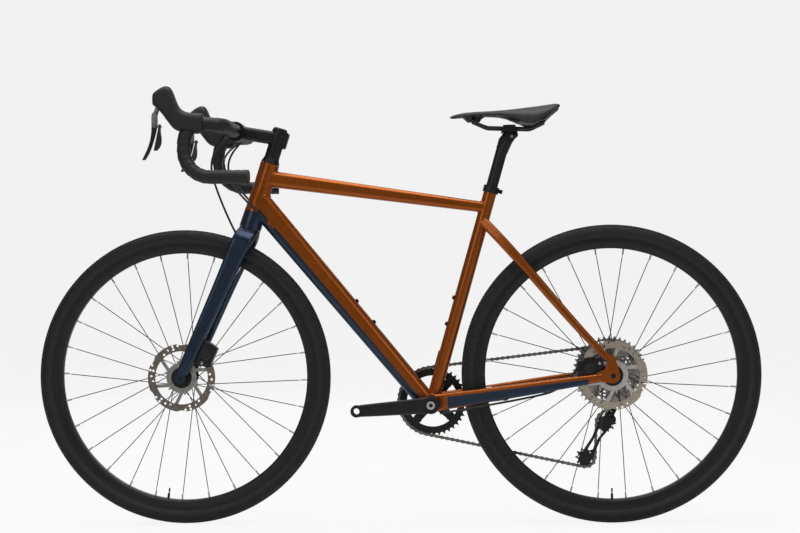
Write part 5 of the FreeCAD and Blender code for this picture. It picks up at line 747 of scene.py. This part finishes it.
def slab(name, outline, half, bevel, made, body):
    """A plate with this outline in X and Z, to the same half width on both sides."""
    count = len(outline)
    verts = [(x * MM, side * half * MM, z * MM) for side in (-1, 1) for x, z in outline]
    faces = [tuple(range(count)), tuple(range(2 * count - 1, count - 1, -1))]
    for step in range(count):
        after = (step + 1) % count
        faces.append((step, step + count, after + count, after))
    bevelled(to_mesh(name, verts, faces, made, body), bevel * MM, 3)


slab("seatpost_head", HEAD_OUTLINE, HEAD_HALF, HEAD_BEVEL, black_alloy, "seat")


# Bolt heads, caps and rivets that face sideways: spot, radius, height, width of the sunk middle

STUDS = [
    ("seatpost_bolt_left", (-278.7, 16.3, 906.6), 3.4, 1.6, 0.45, bright_steel, "seat"),
    ("seatpost_bolt_right", (-278.7, -16.3, 906.6), 3.4, 1.6, 0.45, bright_steel, "seat"),
    ("rear_piston_cap", (-450.0, 68.2, 366.5), 11.5, 2.4, 0.62, black_plastic, "frame"),
    ("rear_pad_pin", (-473.0, 67.4, 377.0), 3.6, 1.8, 0.45, bright_steel, "frame"),
    ("rear_bleed_screw", (-433.0, 67.4, 378.0), 3.2, 1.8, 0.45, black_alloy, "frame"),
    ("front_piston_cap", (441.0, 52.5, 403.0), 11.5, 2.4, 0.62, black_plastic, "steering"),
    ("front_pad_pin", (452.5, 51.6, 384.0), 3.4, 1.8, 0.45, bright_steel, "steering"),
    ("front_bleed_screw", (431.0, 51.6, 421.0), 3.2, 1.8, 0.45, black_alloy, "steering"),
]
STUD_AROUND = 20
RIVETS = [("front_rivet_%d", 503, 40.8, "front_wheel"), ("rear_rivet_%d", -503, 56.5, "rear_wheel")]
RIVET_COUNT, RIVET_START, RIVET_CIRCLE = 6, 12, 38
HUB_UP = 349


def stud(name, spot, radius, tall, hole, made, body):
    """A round head with a sunk middle, standing out along Y from its spot, in millimetres."""
    side = 1 if spot[1] > 0 else -1
    profile = [(0, radius), (tall * 0.7, radius), (tall, radius * 0.82), (tall, radius * hole),
               (tall * 0.3, radius * hole * 0.9), (tall * 0.3, 0.02)]
    verts = []
    for out, wide in profile:
        for step in range(STUD_AROUND):
            angle = TURN * step / STUD_AROUND * side
            verts.append(((spot[0] + wide * math.sin(angle)) * MM, (spot[1] + side * out) * MM,
                          (spot[2] + wide * math.cos(angle)) * MM))
    to_mesh(name, verts, loop_faces(len(profile), STUD_AROUND, False), made, body)


for facts in STUDS:
    stud(*facts)
for count in range(RIVET_COUNT):
    turn = math.radians(360 / RIVET_COUNT * count + RIVET_START)
    fore, up = RIVET_CIRCLE * math.sin(turn), RIVET_CIRCLE * math.cos(turn)
    for name, hub_fore, out, body in RIVETS:
        stud(name % count, (hub_fore + fore, out, HUB_UP + up), 3.2, 0.35, 0.45, bright_steel, body)


# Worn edges of the forged and milled pieces

WORN = ("crank_arm_left", "crank_arm_right", "rear_caliper", "front_caliper", "stem", "dropouts",
        "seat_clamp")
for name in WORN:
    bevelled(nodes[name], 0.0008, 2, SHARP_NEW)


# Hoses and the shift cable, in millimetres. Those without a body are baked into plain meshes between bar
# and frame.

HOSE_RADIUS = 2.5
HOSES = [
    ("front_hose_line", "front_brake_hose", "steering",
     [(378, 60, 913), (438, 62, 876), (398, 44, 742), (366, 30, 676)]),
    ("shift_cable_front", "shift_cable", None,
     [(374, -58, 909), (430, -20, 866), (362, 42, 776), (294, 21, 712)]),
    ("shift_cable_rear", "shift_cable", "frame",
     [(-424, -84, 326), (-468, -90, 318), (-500, -86, 321)]),
    ("rear_hose_front", "rear_brake_hose", None,
     [(372, -66, 910), (424, -70, 862), (362, -42, 776), (294, -21, 712)]),
    ("rear_hose_stay", "rear_brake_hose", "frame",
     [(-104, 40, 262), (-330, 49, 299), (-392, 49, 322), (-425, 51.4, 368)]),
]


def hose(name, node, body, rows):
    points = [tuple(value * MM for value in row) for row in rows]
    item, spline = tube_curve(name, "NURBS", points, HOSE_RADIUS * MM, 4, hose_skin)
    item.data.resolution_u = 16
    item.data.use_fill_caps = True
    spline.order_u = 3
    spline.use_endpoint_u = True
    if body:
        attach(item, body)
    else:
        data = baked(item)
        bpy.data.objects.remove(item)
        item = linked(name + "_skin", data)
        data.shade_smooth()
        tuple(points[0])
        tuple(points[-1])
        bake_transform(item)
    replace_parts(item, node)


for facts in HOSES:
    hose(*facts)


# Chain, parted so that the links on the derailleur cage follow the cage

RING_AXIS = Vector((-0.08417, 0, 0.283))
COG_AXIS = Vector(REAR_HUB)
GUIDE_AXIS = Vector((-0.4935, 0, 0.233))
TENSION_AXIS = Vector((-0.44479, 0, 0.14912))
PULLEY_PITCH, RING_PITCH, COG_PITCH = 0.0225, 0.0809, 0.0648
PITCH_NEAR, PULLEY_NEAR, CAGE_NEAR = 0.0015, 0.002, 0.026
RUN_HALF = -0.31
LOOP_FRONT, LOOP_TOP, RUN_TOP = -0.42, 0.30, 0.215
LINK_JOIN = 0.000001


def chain_part(spot):
    """The part of the chain that a link at this spot belongs to."""
    flat = Vector((spot.x, 0, spot.z))
    guide, tension = (flat - GUIDE_AXIS).length, (flat - TENSION_AXIS).length
    line = TENSION_AXIS - GUIDE_AXIS
    share = (flat - GUIDE_AXIS).dot(line) / line.length_squared
    beside = (flat - GUIDE_AXIS - line * share).length
    on_ring = abs((flat - RING_AXIS).length - RING_PITCH) < PITCH_NEAR
    on_cog = abs((flat - COG_AXIS).length - COG_PITCH) < PITCH_NEAR
    on_pulley = min(guide, tension) < PULLEY_PITCH + PULLEY_NEAR
    if on_pulley or (0 < share < 1 and beside < CAGE_NEAR):
        return "cage"
    if flat.x > TENSION_AXIS.x and flat.z < RUN_TOP and not on_ring:
        return "fore" if flat.x > RUN_HALF else "aft"
    if flat.x < LOOP_FRONT and flat.z < LOOP_TOP and not on_cog:
        return "loop"
    return "top"


def islands(work):
    """The faces of a mesh in lists that hang together, one for each link."""
    left = set(work.faces)
    for start in work.faces:
        if start not in left:
            continue
        left.discard(start)
        island, edge = [], [start]
        while edge:
            face = edge.pop()
            island.append(face)
            for side in face.edges:
                for other in side.link_faces:
                    if other in left:
                        left.discard(other)
                        edge.append(other)
        yield island


def chain_parts():
    """One piece for each part of the chain, cut between links, with the spots of its links."""
    work = bmesh.new()
    work.from_mesh(nodes["chain"].data)
    bmesh.ops.remove_doubles(work, verts=work.verts, dist=LINK_JOIN)
    parts = {}
    for island in islands(work):
        middle = sum((face.calc_center_median() for face in island), Vector()) / len(island)
        faces, spots = parts.setdefault(chain_part(middle), ([], []))
        faces += island
        spots.append(middle)
    made = {}
    for part, (faces, spots) in parts.items():
        numbers = {}
        for face in faces:
            for vert in face.verts:
                numbers.setdefault(vert, len(numbers))
        data = bpy.data.meshes.new("chain_" + part)
        data.from_pydata([tuple(vert.co) for vert in numbers], [],
                         [tuple(numbers[vert] for vert in face.verts) for face in faces])
        data.materials.append(chain_steel)
        smoothed(data, SHARP_CAD)
        made[part] = (linked("chain_" + part, data), spots)
    work.free()
    return made


def ends(spots, axis):
    """The spots that are furthest and least far along an axis."""
    return max(spots, key=lambda spot: spot[axis]), min(spots, key=lambda spot: spot[axis])


links = chain_parts()
for part, body in (("top", "frame"), ("cage", "cage")):
    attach(links[part][0], body)
run, spots = links["fore"]
front, back = ends(spots, 0)
tuple(front)
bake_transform(run)
run, spots = links["aft"]
front, back = ends(spots, 0)
tuple(front)
tuple(back)
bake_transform(run)
run, spots = links["loop"]
high, low = ends(spots, 2)
tuple(high)
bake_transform(run)
for item, _ in links.values():
    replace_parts(item, "chain")


# Tyre valves, in millimetres: distance from the hub and radius

VALVE = [(268, 0.0), (268, 2.0), (276, 2.0), (276.5, 1.4), (280, 1.4), (280.5, 2.9), (288, 2.9),
         (288.5, 3.0), (294, 3.0), (294, 0.0)]
VALVE_AROUND = 16


def valve(name, body, centre, turn):
    down = Vector((math.sin(turn), 0, -math.cos(turn)))
    right = Vector((math.cos(turn), 0, math.sin(turn)))
    out = Vector((0, 1, 0))
    verts = []
    for far, wide in VALVE:
        for step in range(VALVE_AROUND):
            angle = TURN * step / VALVE_AROUND
            spot = down * far + (right * math.cos(angle) + out * math.sin(angle)) * wide
            verts.append((centre[0] + spot.x * MM, spot.y * MM, centre[2] + spot.z * MM))
    to_mesh(name, verts, loop_faces(len(VALVE), VALVE_AROUND, False), black_alloy, body)


valve("front_valve", "front_wheel", FRONT_HUB, math.radians(8.5))
valve("rear_valve", "rear_wheel", REAR_HUB, 0.0)


# Camera, floor and light

EYE = Vector((-0.217, 3.454, 0.605))
AIM = Vector((-0.0125, 0, 0.605))
ROLL = math.radians(-0.66)
LENS, SENSOR = 66.0, 36
FLOOR_RADIUS, FLOOR_STEP = 16, 5
FLOOR_GLOW = 0.88
SKY_LIGHT, SKY_SEEN = 0.19, 0.885
SOFTBOXES = [
    ("softbox_top", (0.2, 0.2, 3.2), (0, 0, 0.4), (3.6, 2.4), 75),
    ("softbox_front", (1.8, 3.0, 2.0), (0, 0, 0.6), (1.8, 1.8), 14),
    ("softbox_rear", (-2.2, 2.6, 1.8), (0, 0, 0.6), (1.6, 1.8), 11),
    ("softbox_back", (0.4, -3.2, 1.9), (0, 0, 0.6), (2.6, 1.8), 22),
]


def looking(spot, look):
    """The place of something at the spot that faces the look point."""
    facing = (Vector(look) - Vector(spot)).to_track_quat("-Z", "Y").to_matrix().to_4x4()
    return Matrix.Translation(spot) @ facing


def softbox(name, spot, look, size, power):
    data = bpy.data.lights.new(name, "AREA")
    data.shape = "RECTANGLE"
    data.size, data.size_y = size
    data.energy = power
    linked(name, data).matrix_world = looking(spot, look)


def floor_white():
    """A white floor that the camera sees as an even glow, and the light as plain white."""
    made = surface("backdrop_white", (0.86, 0.86, 0.865), (0.89, 0.89, 0.89), 3, (0.75, 0.85), grain=60,
                   strength=0.02, depth=0.001, specular=0.2)
    tree = made.node_tree
    glow = tree.nodes.new("ShaderNodeEmission")
    color = tones(tree, noise(tree, place(tree), 2), (0.985, 0.985, 0.985), (1.0, 1.0, 1.0))
    link(tree, color, glow.inputs["Color"])
    seen = tree.nodes.new("ShaderNodeLightPath")
    share = sums(tree, "MULTIPLY", seen.outputs["Is Camera Ray"], FLOOR_GLOW)
    both = tree.nodes.new("ShaderNodeMixShader")
    link(tree, share, both.inputs["Fac"])
    link(tree, tree.nodes["Principled BSDF"].outputs["BSDF"], both.inputs[1])
    link(tree, glow.outputs["Emission"], both.inputs[2])
    link(tree, both.outputs["Shader"], tree.nodes["Material Output"].inputs["Surface"])
    return made


camera_data = bpy.data.cameras.new("camera")
camera_data.lens = LENS
camera_data.sensor_width = SENSOR
camera = linked("camera", camera_data)
camera.matrix_world = looking(EYE, AIM) @ Matrix.Rotation(ROLL, 4, "Z")
scene.camera = camera

floor_data = bpy.data.meshes.new("studio_floor")
turns = [math.radians(turn) for turn in range(0, 360, FLOOR_STEP)]
rim = [(FLOOR_RADIUS * math.cos(turn), FLOOR_RADIUS * math.sin(turn), 0) for turn in turns]
floor_data.from_pydata(rim, [], [tuple(range(len(rim)))])
floor = linked("studio_floor", floor_data)
floor_data.materials.append(floor_white())

for facts in SOFTBOXES:
    softbox(*facts)

world = bpy.data.worlds.new("studio_world")
scene.world = world
world.use_nodes = True
tree = world.node_tree
sky = tree.nodes["Background"]
sky.inputs["Color"].default_value = (1, 1, 1, 1)
seen = tree.nodes.new("ShaderNodeLightPath")
bright = remap(tree, seen.outputs["Is Camera Ray"], (0, 1), SKY_LIGHT, SKY_SEEN)
link(tree, bright, sky.inputs["Strength"])
scene.view_settings.view_transform = "Standard"
